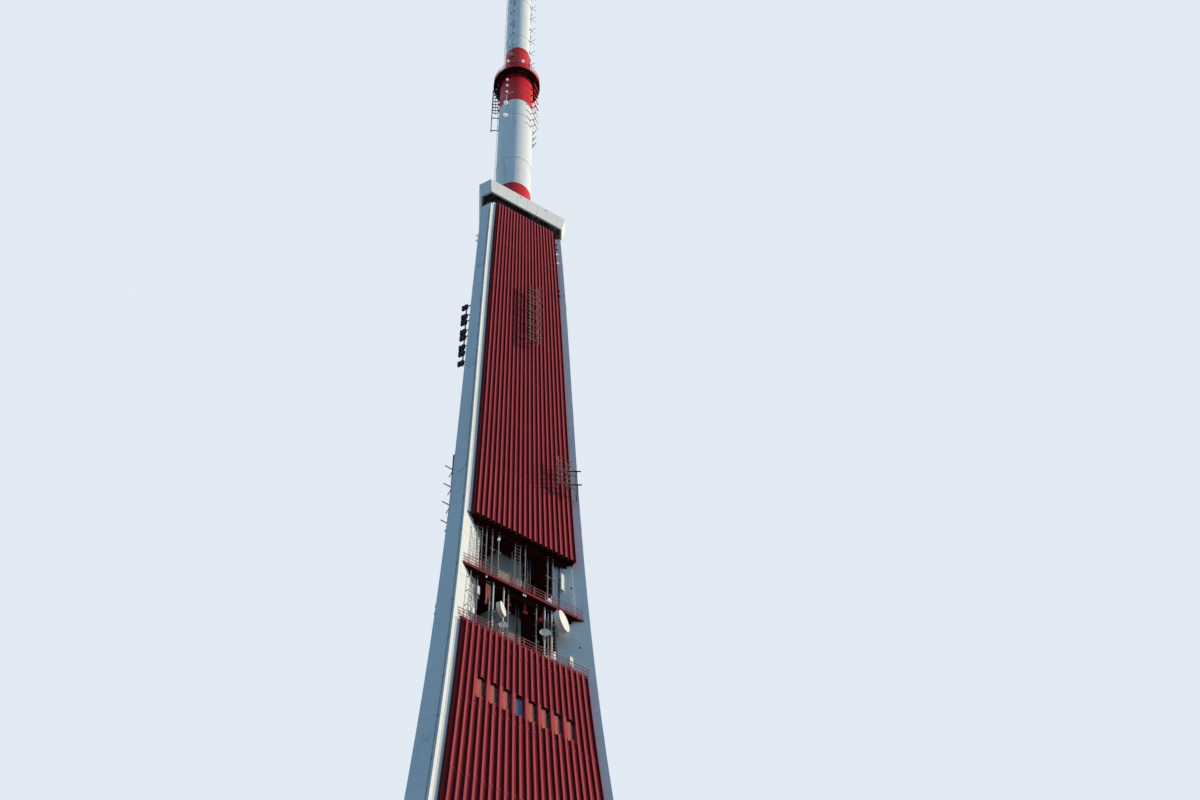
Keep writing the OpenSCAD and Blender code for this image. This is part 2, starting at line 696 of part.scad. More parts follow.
// Upright bar off the outer side of the left pillar, from one distance beyond its edge to another
module side_pole(z0, z1, out, t) {
    zs = bends(z0, z1);
    rotate([90, 0, 90]) linear_extrude(height = t)
        polygon(concat([for (z = zs) [-pillar_w(z) / 2 - out, z]],
            [for (z = backwards(zs)) [-pillar_w(z) / 2 - out - t, z]]));
}
// Pairs of panels on a pole beside the left pillar
module paired_panels() {
    z0 = upper_clad_z0 + 0.459 * upper_clad_h;
    x = face_r(z0 + pair_step * 2) - 60;
    rod = 8;
    translate([x, 0, 0]) side_pole(z0 - 60, z0 + 3.8 * pair_step, 70, rod);
    for (i = [0:3], d = [0, pair_gap]) {
        z = z0 + i * pair_step + d;
        edge = -pillar_w(z) / 2;
        translate([x - 5, edge - 122, z - 35]) cube([2 * rod, 62, 70]);
        translate([x, edge - 72, z - rod / 2]) cube([rod, 72, rod]);
    }
    for (i = [0:2]) {
        z = z0 + i * pair_step + pair_gap;
        edge = -pillar_w(z) / 2;
        translate([x, edge - 122, z - 10]) cube([rod, rod, pair_step - pair_gap + 20]);
    }
}
// Forked dipoles beside the left pillar, and the pole behind the upper two
module side_forks() {
    z1 = upper_clad_z0 + 0.128 * upper_clad_h;
    rod = 8;
    x = face_r(z1) - 20;
    translate([x - 20, 0, 0]) side_pole(z1 - fork_group_h * 0.46, z1 + fork_group_h * 0.28, 12, 2 * rod);
    for (i = [0:3]) {
        z = z1 - i * fork_group_h / 3;
        edge = -pillar_w(z) / 2;
        translate([x - 20, edge - 26, z - rod / 2]) cube([2 * rod, 26, rod]);
        for (a = [-29, -123]) translate([x - 14, edge - 20, z - 3]) rotate([0, 0, a]) translate([0, -3, 0])
            cube([fork_l, 6, 6]);
    }
}
module pillar_aerials() {
    color(dark_steel) {
        on_pillar(0) {
            paired_panels();
            side_forks();
        }
        on_pillar(1) edge_brackets();
    }
}
// Upright panel aerials on brackets off the sides of the front pillars, all facing one way
module panel_aerials() {
    facing = -75;
    stand = 28;
    // Pillar, foot, height, side and distance from the pillar's inner face
    places = [[1, gallery_z + 387, 208, -1, 70], [1, lower_clad_z1 + 150, 111, -1, 93],
        [0, gallery_z - 193, 95, 1, 20]];
    color(cream) for (p = places) on_pillar(p[0]) {
        edge = pillar_w(p[1]) / 2;
        translate([face_r(p[1]) - pillar_d(p[1]) + p[4], p[3] * (edge + stand), p[1]]) {
            rotate([0, 0, facing - pillar_azimuth[p[0]]]) translate([-5, -16, 0]) cube([10, 32, p[2]]);
            translate([-4, p[3] < 0 ? 0 : -stand, p[2] * 0.4]) cube([8, stand, 8]);
        }
    }
}

foundation();
leg(0);  // leg_front_left
leg(1);  // leg_front_right
leg(2);  // leg_back
pillar(0);  // pillar_front_left
pillar(1);  // pillar_front_right
pillar(2);  // pillar_back
deck_wall(0);  // deck_wall_front
deck_wall(1);  // deck_wall_right
deck_wall(2);  // deck_wall_left
deck_windows();
color(steel_grey) floor_plate(knee_z, -deck_wall_t);  // knee_floor
color(steel_grey) floor_plate(deck_z, -deck_wall_t);  // deck_floor
color(steel_grey) floor_plate(deck_roof_z, floor_tip);  // deck_roof
lower_cladding(0);  // lower_cladding_front
lower_cladding(1);  // lower_cladding_right
lower_cladding(2);  // lower_cladding_left
window_frames();
window_glass();
color(clad_red) floor_plate(lower_clad_z1, clad_out);  // gallery_floor_low
color(clad_red) floor_plate(gallery_z, ledge_out);  // gallery_floor_mid
color(clad_red) floor_plate(upper_clad_z0, -clad_back);  // gallery_floor_high
upper_cladding(0);  // upper_cladding_front
upper_cladding(1);  // upper_cladding_right
upper_cladding(2);  // upper_cladding_left
central_shaft();
cap_band();
cap_roof();
cap_lattice();
mast_tube_low();
mast_tube_middle();
mast_tube_high();
mast_tip();
mast_gallery();
mast_collars();
mast_forked_dipoles();
mast_ring_dipoles();
mast_side_dipoles();
mast_lights();
railing(lower_clad_z1 + floor_t, ledge_out - 4);  // railing_low
railing(gallery_z + floor_t, ledge_out - 4);  // railing_mid
railing(deck_roof_z + floor_t, floor_tip - 6);  // railing_deck
service_pipes();
dish_large();
dishes_small();
panel_aerials();
wall_aerial();
edge_aerial();
pillar_aerials();
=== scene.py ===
# Broadcasting tower on three splayed legs, at one tenth: its finish and fine parts, in metres.
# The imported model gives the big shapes. Everything here is fitted to them.
import math
import random

import bpy
import bmesh
from mathutils import Matrix, Vector


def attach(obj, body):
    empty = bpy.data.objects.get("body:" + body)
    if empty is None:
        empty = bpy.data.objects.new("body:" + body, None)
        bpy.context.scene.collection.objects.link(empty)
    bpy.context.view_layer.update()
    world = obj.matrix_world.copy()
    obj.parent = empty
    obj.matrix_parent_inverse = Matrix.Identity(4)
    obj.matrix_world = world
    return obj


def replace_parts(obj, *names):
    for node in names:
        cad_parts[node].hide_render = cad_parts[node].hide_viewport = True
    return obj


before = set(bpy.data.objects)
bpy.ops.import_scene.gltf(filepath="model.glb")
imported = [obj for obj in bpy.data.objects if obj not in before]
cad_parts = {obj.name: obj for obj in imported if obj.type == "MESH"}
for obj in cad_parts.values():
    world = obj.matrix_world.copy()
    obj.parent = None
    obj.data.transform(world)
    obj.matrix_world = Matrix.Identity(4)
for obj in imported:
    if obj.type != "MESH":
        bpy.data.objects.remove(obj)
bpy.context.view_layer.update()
scene = bpy.context.scene
random.seed(11)
print("frame loaded:", len(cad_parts), "nodes")

# The tower's levels, the same as in the model's source
tower = {"foot": 0.06, "knee": 8.8, "deck": 9.65, "deckRoof": 10.2, "lowerBottom": 10.6, "lowerTop": 14.41,
    "gallery": 15.17, "upperBottom": 15.93, "upperTop": 21.83, "top": 22.2, "shaft": 0.215, "floor": 0.03,
    "rail": 0.11, "upperRibs": 19, "lowerRibs": 21, "ribFill": 0.47, "cladding": 0.03, "rib": 0.02,
    "windowSill": 13.525, "windowHeight": 0.24, "footFace": 3.0, "footWidth": 0.395, "footDepth": 0.42}
gauge = [13.4, 16.2, 19.0, 21.8]
gaugeRadius = [0.832, 0.676, 0.591, 0.498]
bendStep = 0.5
claddings = [(tower["lowerBottom"], tower["lowerTop"], tower["lowerRibs"]),
    (tower["upperBottom"], tower["upperTop"], tower["upperRibs"])]
windowTop = tower["windowSill"] + tower["windowHeight"]
cos30, tan60 = math.cos(math.radians(30)), math.tan(math.radians(60))
up = Vector((0, 0, 1))


# Shape of the pillars and walls by height
def cubic(z):
    total = 0
    for i in range(4):
        term = gaugeRadius[i]
        for j in range(4):
            if j != i:
                term *= (z - gauge[j]) / (gauge[i] - gauge[j])
        total += term
    return total


kneeSlope = (cubic(gauge[0]) - cubic(gauge[0] + 0.001)) / 0.001
legBend = (tower["footFace"] - gaugeRadius[0] - kneeSlope * gauge[0]) / gauge[0] ** 2


def faceRadius(z):
    below = gauge[0] - z
    return cubic(z) if below <= 0 else gaugeRadius[0] + kneeSlope * below + legBend * below ** 2


def pillarWidth(z):
    a, b = tower["top"], gauge[0]
    return (0.107 * (z - b) * z / ((a - b) * a) + 0.181 * (z - a) * z / ((b - a) * b)
        + tower["footWidth"] * (z - a) * (z - b) / (a * b))


def pillarDepth(z):
    return tower["footDepth"] + (0.2 - tower["footDepth"]) * z / tower["top"]


def wallInset(z):
    return 0.11 + (0.079 - 0.11) * z / tower["top"]


def wallRadius(z):
    return (faceRadius(z) - wallInset(z)) / 2 + pillarWidth(z) / 2 * cos30


def wallHalf(z):
    return (faceRadius(z) - wallInset(z)) * cos30 - pillarWidth(z) / 4


def bent(shape, z):
    # the model's edges are straight between heights that are half a metre apart
    low = math.floor(z / bendStep + 1e-6) * bendStep
    share = (z - low) / bendStep
    return shape(low) * (1 - share) + shape(low + bendStep) * share


def bends(bottom, top):
    return [bottom] + [i * bendStep for i in range(int(bottom / bendStep) + 1, math.ceil(top / bendStep))] + [top]


def rotation(azimuth):
    return Matrix.Rotation(math.radians(azimuth), 3, "Z")


wallTurns = [rotation(a) for a in (0, 120, 240)]
pillarTurns = [rotation(a) for a in (-150, -30, 90)]
wallOut = [turn @ Vector((0, -1, 0)) for turn in wallTurns]
wallSide = [turn @ Vector((1, 0, 0)) for turn in wallTurns]


def wallPoint(k, x, out, z):
    return wallTurns[k] @ Vector((x, -bent(wallRadius, z) - out, z))


def pillarPoint(k, beyond, side, z):
    # beyond is measured outwards from the pillar's outer face, side from its middle
    return pillarTurns[k] @ Vector((bent(faceRadius, z) + beyond, side, z))


def around(azimuth, radius, z, side=0.0):
    return rotation(azimuth) @ Vector((radius, side, z))


def spot(turn, x=0, y=0, z=0):
    # coordinates of a fitting, from a point in a wall's or a pillar's own turn
    return lambda a, b, c: turn @ Vector((x + a, y + b, z + c))


def spokes(u, v, count, first=0):
    # directions at equal angles round a circle
    turns = [math.radians(first + 360 * i / count) for i in range(count)]
    return [u * math.cos(t) + v * math.sin(t) for t in turns]


def span(middle, half):
    return middle - half, middle + half


def knob(wide, height, narrow, top):
    # profile of a disc that narrows to its top
    return [(wide, 0), (wide, height), (narrow, top)]


def neck(wide, height, narrow, low, top):
    # profile of a disc with a narrower neck on it
    return [(wide, 0), (wide, height), (narrow, low), (narrow, top)]


# Mesh building
class Shape:
    def __init__(self):
        self.points, self.faces = [], []

    def loft(self, rings, closed=False):
        # skin through rings of the same number of points, with flat ends
        start, n, count = len(self.points), len(rings[0]), len(rings)
        self.points += [p for ring in rings for p in ring]
        for i in range(count if closed else count - 1):
            a, b = start + i * n, start + (i + 1) % count * n
            self.faces += [(a + j, a + (j + 1) % n, b + (j + 1) % n, b + j) for j in range(n)]
        if not closed:
            end = len(self.points)
            self.faces += [tuple(range(start, start + n))[::-1], tuple(range(end - n, end))]

    def block(self, place, xs, ys, zs):
        # box between limits in the coordinates of place(x, y, z)
        (x0, x1), (y0, y1) = xs, ys
        self.loft([[place(x, y, z) for x, y in ((x0, y0), (x1, y0), (x1, y1), (x0, y1))] for z in zs])

    def wallBlock(self, k, xs, outs, zs):
        self.block(lambda x, out, z: wallPoint(k, x, out, z), xs, outs, zs)

    def plate(self, place, line, half=0.003):
        # flat plate with the outline (x, z) in the coordinates of place(x, y, z)
        self.loft([[place(x, y, z) for x, z in line] for y in (-half, half)])

    def path(self, points, radius, sides=8, closed=False):
        # round bar along points
        points = [Vector(p) for p in points]
        rings, top, last = [], None, len(points) - 1
        for i, p in enumerate(points):
            ends = (points[i - last], points[i - 1]) if closed else (points[min(i + 1, last)], points[max(i - 1, 0)])
            along = (ends[0] - ends[1]).normalized()
            top = along.orthogonal().normalized() if top is None else top
            top = (top - along * top.dot(along)).normalized()
            rings.append([p + s * radius for s in spokes(top, along.cross(top), sides)])
        self.loft(rings, closed)

    def bar(self, place, line, radius, sides=8):
        self.path([place(*p) for p in line], radius, sides)

    def hoop(self, centre, axis, radius, bar, steps=32, sides=6):
        axis = Vector(axis).normalized()
        u = axis.cross(up if abs(axis.z) < 0.9 else Vector((1, 0, 0))).normalized()
        self.path([Vector(centre) + s * radius for s in spokes(u, axis.cross(u), steps)], bar, sides, closed=True)

    def turned(self, centre, axis, profile, steps=32, closed=False):
        # profile is a list of (radius, distance along the axis)
        axis = Vector(axis).normalized()
        u = axis.orthogonal().normalized()
        ring = spokes(u, axis.cross(u), steps)
        self.loft([[Vector(centre) + axis * h + s * max(r, 1e-5) for s in ring] for r, h in profile], closed)

    def band(self, z, inner, outer, height, steps=96):
        # flat ring round the tower's axis
        self.turned((0, 0, z), up, [(inner, 0), (outer, 0), (outer, height), (inner, height)], steps, closed=True)

    def bolt(self, centre, axis, radius, height):
        # hexagon head with a domed end
        self.turned(centre, axis, knob(radius, height * 0.7, radius * 0.75, height), 6)

    def join(self, a, b, width, depth, top=up):
        # straight flat bar from a to b
        along = (b - a).normalized()
        side = (along.cross(top) if along.cross(top).length > 1e-4 else along.orthogonal()).normalized()
        thick = side.cross(along).normalized()
        corners = ((-1, -1), (1, -1), (1, 1), (-1, 1))
        self.loft([[p + side * width / 2 * s + thick * depth / 2 * t for s, t in corners] for p in (a, b)])


def shapes(count):
    return [Shape() for i in range(count)]


# Slots of the finishes, looked up where a piece doesn't name its own; makePiece doesn't store the slot on the piece
slots = {"paleSteel": "white_steel", "bandCream": "aerial_cream", "redCladding": "red_cladding",
    "paintedShadeChannel": "red_cladding", "brownTrim": "red_cladding", "redSteel": "red_steel", "redShade": "red_steel",
    "pinkSteel": "red_steel", "greySteel": "grey_steel", "darkSteel": "dark_steel", "galvanised": "galvanised",
    "aerialCream": "aerial_cream", "signalWhite": "mast_white", "blindOrange": "red_steel", "boxBlue": "grey_steel",
    "stripedUnit": "white_steel", "cableBlack": "dark_steel", "mastPaint": "mast_red", "mastTrim": "mast_red",
    "castConcrete": "concrete", "lampWhite": "mast_white", "lampRed": "mast_red"}
materials, groups, pieces = {}, {}, []


def makePiece(shape, name, finish, slot=None, bevel=0.0):
    mesh = bpy.data.meshes.new(name)
    mesh.from_pydata(shape.points, [], shape.faces)
    mesh.materials.append(materials[finish])
    work = bmesh.new()
    work.from_mesh(mesh)
    bmesh.ops.recalc_face_normals(work, faces=work.faces)
    work.to_mesh(mesh)
    work.free()
    mesh.shade_smooth()
    mesh.set_sharp_from_angle(angle=math.radians(35))
    piece = bpy.data.objects.new(name, mesh)
    scene.collection.objects.link(piece)
    if bevel:
        edge = piece.modifiers.new("edges", "BEVEL")
        edge.width, edge.segments, edge.limit_method = bevel, 2, "ANGLE"
    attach(piece, "root")
    slot or slots[finish]
    pieces.append(piece)
    return piece


def makePieces(**parts):
    # each piece as (shape, finish, slot, bevel)
    for name, (shape, *rest) in parts.items():
        makePiece(shape, name, *rest)


# Shader trees
class Nodes:
    def __init__(self, tree):
        self.tree = tree

    def fill(self, node, inputs):
        for key, value in inputs.items():
            socket = node.inputs[key]
            if isinstance(value, bpy.types.NodeSocket):
                self.tree.links.new(value, socket)
            else:
                socket.default_value = (*value, 1) if socket.type == "RGBA" else value

    def add(self, kind, inputs=None, **settings):
        node = self.tree.nodes.new("ShaderNode" + kind)
        for key, value in settings.items():
            setattr(node, key, value)
        self.fill(node, inputs or {})
        return node

    def place(self, name, inputs):
        return self.add("Group", inputs, node_tree=groups[name]).outputs

    def where(self):
        return self.add("TexCoord").outputs["Object"]

    def upward(self, vector):
        return self.add("SeparateXYZ", {0: vector}).outputs[2]

    def maths(self, operation, a, b=0.0, clamp=False):
        return self.add("Math", {0: a, 1: b}, operation=operation, use_clamp=clamp).outputs[0]

    def times(self, a, b, clamp=False):
        return self.maths("MULTIPLY", a, b, clamp)

    def plus(self, a, b):
        return self.maths("ADD", a, b)

    def minus(self, a, b):
        return self.maths("SUBTRACT", a, b)

    def most(self, a, b):
        return self.maths("MAXIMUM", a, b)

    def vector(self, operation, a, b, socket=1):
        return self.add("VectorMath", {0: a, socket: b}, operation=operation).outputs

    def sized(self, factor):
        return self.vector("SCALE", self.where(), factor, "Scale")[0]

    def mix(self, factor, a, b, blend="MIX"):
        return self.add("Mix", {0: factor, 6: a, 7: b}, data_type="RGBA", blend_type=blend).outputs[2]

    def shade(self, colour, tone):
        grey = self.add("CombineColor", {0: tone, 1: tone, 2: tone}).outputs[0]
        return self.mix(1.0, colour, grey, "MULTIPLY")

    def ramp(self, value, low, high):
        return self.add("MapRange", {"Value": value, "From Min": low, "From Max": high, "To Min": 0.0,
            "To Max": 1.0}, interpolation_type="SMOOTHSTEP").outputs[0]

    def noise(self, vector, scale, detail, roughness=0.5):
        return self.add("TexNoise", {"Vector": vector, "Scale": scale, "Detail": detail,
            "Roughness": roughness}).outputs[0]

    def cameraSeen(self):
        # what the camera sees straight, in a reflection or through glass
        rays = self.add("LightPath").outputs
        return self.most(self.most(rays["Is Camera Ray"], rays["Is Glossy Ray"]), rays["Is Transmission Ray"])


def newGroup(name, inputs, outputs):
    # an input whose value is a tuple is a colour, and so is an output called Color
    tree = bpy.data.node_groups.new(name, "ShaderNodeTree")
    kinds = {True: "NodeSocketColor", False: "NodeSocketFloat"}
    for label, value in inputs.items():
        socket = tree.interface.new_socket(name=label, in_out="INPUT", socket_type=kinds[isinstance(value, tuple)])
        socket.default_value = value
    for label in outputs:
        tree.interface.new_socket(name=label, in_out="OUTPUT", socket_type=kinds[label == "Color"])
    groups[name] = tree
    nodes = Nodes(tree)
    given, result = tree.nodes.new("NodeGroupInput").outputs, tree.nodes.new("NodeGroupOutput")
    return nodes, given, lambda **values: nodes.fill(result, values)


def buildPaintedShade():
    # painted shade: masks what faces the tower's axis and the undersides of floors, where the colour is darkened to
    # stand for their shade
    nodes, given, give = newGroup("paintedShadeMask", {"Inward": 1.0, "Under": 1.0}, ["Mask"])
    normal = nodes.add("NewGeometry").outputs["Normal"]
    inward = None
    for out in wallOut:
        facing = nodes.vector("DOT_PRODUCT", normal, tuple(-out))["Value"]
        inward = facing if inward is None else nodes.most(inward, facing)
    under = nodes.times(nodes.ramp(nodes.times(nodes.upward(normal), -1.0), 0.88, 0.96), given["Under"])
    give(Mask=nodes.most(nodes.times(nodes.ramp(inward, 0.93, 0.97), given["Inward"]), under))


def buildWeathering():
    nodes, given, give = newGroup("weathering", {"Color": (0.8, 0.8, 0.8, 1), "Dirt Color": (0.1, 0.08, 0.06, 1),
        "Roughness": 0.5, "Fade": 0.1, "Dirt": 0.2, "Streaks": 0.3, "Scale": 1.0}, ["Color", "Roughness", "Height"])
    sized = nodes.sized(given["Scale"])
    broad = nodes.noise(sized, 1.7, 6.0, 0.62)
    fine = nodes.noise(sized, 46.0, 5.0, 0.6)
    runs = nodes.noise(nodes.vector("MULTIPLY", sized, (17.0, 17.0, 0.7))[0], 1.0, 6.0, 0.68)
    spread = nodes.plus(nodes.times(nodes.times(nodes.minus(broad, 0.5), given["Fade"]), 4.0), 1.0)
    grain = nodes.plus(nodes.times(nodes.minus(fine, 0.5), 0.1), 1.0)
    faded = nodes.shade(given["Color"], nodes.times(spread, grain))
    streaks = nodes.times(nodes.ramp(runs, 0.5, 0.74), given["Streaks"])
    patches = nodes.times(nodes.ramp(nodes.times(broad, fine), 0.25, 0.4), given["Dirt"])
    mask = nodes.most(streaks, patches)
    rougher = nodes.plus(given["Roughness"], nodes.times(mask, 0.22))
    give(Color=nodes.mix(mask, faded, given["Dirt Color"]),
        Roughness=nodes.plus(rougher, nodes.times(nodes.minus(fine, 0.5), 0.2)),
        Height=nodes.plus(nodes.times(fine, 0.4), nodes.times(mask, -0.3)))


def buildSeams():
    # level joints between plates, and a tone for each plate
    nodes, given, give = newGroup("plateSeams", {"Spacing": 0.6, "Width": 0.004, "Offset": 0.0}, ["Seam", "Tone"])
    height = nodes.plus(nodes.upward(nodes.where()), given["Offset"])
    course = nodes.maths("DIVIDE", height, given["Spacing"])
    part = nodes.maths("FRACT", course)
    near = nodes.times(nodes.maths("MINIMUM", part, nodes.minus(1.0, part)), given["Spacing"])
    line = nodes.add("MapRange", {"Value": near, "From Min": given["Width"], "From Max": 0.0})
    tone = nodes.add("TexWhiteNoise", {"W": nodes.maths("FLOOR", course)}, noise_dimensions="1D")
    give(Seam=line.outputs[0], Tone=tone.outputs["Value"])


def buildRust():
    nodes, given, give = newGroup("rustSpots", {"Amount": 0.3, "Scale": 1.0}, ["Mask", "Color"])
    sized = nodes.sized(given["Scale"])
    spots = nodes.noise(nodes.vector("MULTIPLY", sized, (1.0, 1.0, 0.22))[0], 30.0, 8.0, 0.72)
    give(Mask=nodes.times(nodes.ramp(spots, 0.64, 0.7), given["Amount"], clamp=True),
        Color=nodes.mix(nodes.noise(sized, 90.0, 3.0), (0.09, 0.03, 0.012), (0.3, 0.12, 0.045)))


def buildCast():
    # cast surface with pits and board marks
    nodes, given, give = newGroup("castSurface", {"Color": (0.5, 0.5, 0.5, 1), "Scale": 1.0}, ["Color", "Height"])
    sized = nodes.sized(given["Scale"])
    stones, holes = (nodes.add("TexVoronoi", {"Vector": sized, "Scale": s}).outputs for s in (130.0, 42.0))
    cloud = nodes.noise(sized, 5.0, 9.0, 0.65)
    pits = nodes.ramp(holes["Distance"], 0.05, 0.16)
    base = nodes.mix(nodes.ramp(cloud, 0.35, 0.68), given["Color"], (0.7, 0.68, 0.62))
    give(Color=nodes.mix(pits, (0.16, 0.15, 0.13), nodes.mix(0.12, base, stones["Color"])),
        Height=nodes.plus(nodes.times(pits, 0.5), nodes.times(cloud, 0.5)))


for build in (buildPaintedShade, buildWeathering, buildSeams, buildRust, buildCast):
    build()
print("shader groups made")

# Finishes: only what differs from the defaults of paint is given
trim = dict(roughness=0.6, fade=0.12, bump=0.08, specular=0.03)
gloss = dict(roughness=0.4, fade=0.04, streaks=0.2, specular=0.3)
cabinet = dict(roughness=0.42, scale=7.0, bump=0.08)
mast = dict(bands=True, roughness=0.4, fade=0.05, specular=0.04)
pane = dict(dirt=(0.3, 0.28, 0.25), roughness=0.06, patches=0.2, streaks=0.2, scale=9.0, bump=0.02, specular=0.3,
    coat=0.25)
lens = dict(dirt=(0.5, 0.45, 0.4), roughness=0.15, patches=0.2, streaks=0.2, scale=20.0, bump=0.03, specular=0.5,
    coat=0.7)
# The dark colour given for faces towards the axis and for undersides is painted shade.
finishes = {
    "paleSteel": dict(colour=(0.82, 0.79, 0.68), dirt=(0.36, 0.34, 0.3), roughness=0.55, fade=0.05, patches=0.22,
        streaks=0.2, scale=1.0, seam=0.62, seamOffset=0.11, rust=0.2, specular=0.05),
    "bandCream": dict(colour=(0.99, 0.92, 0.76), dirt=(0.46, 0.39, 0.3), roughness=0.55, fade=0.03, patches=0.15,
        streaks=0.15, scale=2.2, rust=0.12, bump=0.08, specular=0.05),
    "redCladding": dict(colour=(0.61, 0.092, 0.092), dirt=(0.2, 0.028, 0.03), patches=0.3, scale=1.6, seam=0.84,
        seamOffset=0.03, seamTone=0.16, bump=0.08, paintedShade=(0.022, 0.006, 0.006), specular=0.03),
    # painted shade: dark red of the channels that line the bays and lap over the ribs
    "paintedShadeChannel": dict(trim, colour=(0.21, 0.018, 0.02), dirt=(0.09, 0.012, 0.012)),
    # painted shade: dark brown of the strip in the groove beside the cladding's left end
    "brownTrim": dict(trim, colour=(0.17, 0.055, 0.045), dirt=(0.09, 0.04, 0.03)),
    "redSteel": dict(colour=(0.29, 0.034, 0.036), dirt=(0.13, 0.03, 0.028), fade=0.12, patches=0.5, scale=3.0,
        rust=0.5, bump=0.12, paintedShade=(0.03, 0.005, 0.005), specular=0.03),
    # painted shade: nearly black red for framing and plates that lie in shade under floors and at the mast's gallery
    "redShade": dict(colour=(0.045, 0.008, 0.008), dirt=(0.02, 0.008, 0.007), roughness=0.7, fade=0.15, patches=0.5,
        scale=4.0, rust=0.3, bump=0.12, specular=0.03),
    "pinkSteel": dict(colour=(0.58, 0.2, 0.19), dirt=(0.2, 0.06, 0.05), patches=0.3, streaks=0.2, scale=4.0,
        rust=0.3),
    "greySteel": dict(colour=(0.42, 0.44, 0.44), dirt=(0.13, 0.13, 0.12), fade=0.09, seam=0.55, rust=0.3),
    "shaftSteel": dict(colour=(0.4, 0.385, 0.3), dirt=(0.12, 0.11, 0.08), roughness=0.6, seam=0.19,
        seamOffset=0.03, rust=0.2, specular=0.08),
    "darkSteel": dict(colour=(0.022, 0.024, 0.034), dirt=(0.07, 0.05, 0.04), fade=0.2, patches=0.3, streaks=0.2,
        scale=4.0, rust=0.4, bump=0.12),
    "galvanised": dict(colour=(0.25, 0.235, 0.21), dirt=(0.12, 0.1, 0.08), roughness=0.6, fade=0.14, patches=0.5,
        scale=5.0, rust=0.4, metallic=0.2, bump=0.14),
    "aerialGrey": dict(colour=(0.42, 0.2, 0.17), dirt=(0.2, 0.12, 0.1), fade=0.14, scale=6.0, rust=0.3),
    "aerialCream": dict(gloss, colour=(0.79, 0.75, 0.62), dirt=(0.35, 0.31, 0.25), patches=0.25, scale=6.0,
        bump=0.06),
    "signalWhite": dict(gloss, colour=(0.93, 0.91, 0.85), dirt=(0.36, 0.34, 0.3), patches=0.2, scale=3.0, bump=0.07),
    "blindOrange": dict(colour=(0.62, 0.15, 0.1), dirt=(0.3, 0.09, 0.06), roughness=0.65, fade=0.15, patches=0.3,
        streaks=0.2, scale=6.0),
    # blue paint of the cabinets, also the painted sky reflection in the open window
    "boxBlue": dict(cabinet, colour=(0.16, 0.24, 0.4), dirt=(0.1, 0.1, 0.11), rust=0.2),
    "stripedUnit": dict(cabinet, colour=(0.5, 0.56, 0.8), dirt=(0.2, 0.2, 0.22), patches=0.3, rust=0.1),
    "cableBlack": dict(colour=(0.02, 0.02, 0.023), dirt=(0.09, 0.085, 0.08), roughness=0.55, fade=0.2, streaks=0.1,
        scale=9.0),
    "mastPaint": dict(mast, dirt=(0.22, 0.17, 0.15), patches=0.18, streaks=0.24, scale=2.4, seam=0.6,
        seamOffset=0.2, rust=0.2, bump=0.07, paintedShade=(0.04, 0.004, 0.006), inward=0.0),
    "mastTrim": dict(mast, dirt=(0.3, 0.24, 0.2), patches=0.1, streaks=0.1, scale=3.0, bump=0.05),
    "castConcrete": dict(colour=(0.44, 0.43, 0.4), cast=True, dirt=(0.12, 0.12, 0.09), roughness=0.85, fade=0.2,
        patches=0.5, streaks=0.25, scale=3.0, bump=0.5, specular=0.5),
    "windowPane": dict(pane, colour=(0.035, 0.06, 0.09), alpha=0.22),
    "deckPane": dict(pane, colour=(0.05, 0.085, 0.11), alpha=0.8),
    "lampWhite": dict(lens, colour=(0.92, 0.91, 0.88), glow=0.38),
    "lampRed": dict(lens, colour=(0.62, 0.03, 0.03), glow=0.15)}
# Red and white bands of the mast, by height
bandRange = (22.0, 37.0)
bandEdges = [(22.0, "red"), (22.78, "white"), (24.98, "red"), (26.62, "white"), (28.9, "red"), (30.5, "white"),
    (32.2, "red"), (33.8, "white"), (35.3, "red")]
bandColours = {"red": (0.72, 0.011, 0.017, 1), "white": (0.91, 0.87, 0.75, 1)}


def mastBands(nodes):
    low, high = bandRange
    share = nodes.add("MapRange", {"Value": nodes.upward(nodes.where()), "From Min": low, "From Max": high})
    node = nodes.add("ValToRGB", {0: share.outputs[0]})
    node.color_ramp.interpolation = "CONSTANT"
    stops = node.color_ramp.elements
    for i, (start, colour) in enumerate(bandEdges):
        stop = stops.new((start - low) / (high - low)) if i else stops[0]
        stop.color = bandColours[colour]
    stops.remove(stops[-1])
    return node.outputs[0]


def newMaterial(name):
    material = bpy.data.materials.new(name)
    material.use_nodes = True
    materials[name] = material
    return Nodes(material.node_tree), material.node_tree.nodes["Principled BSDF"]


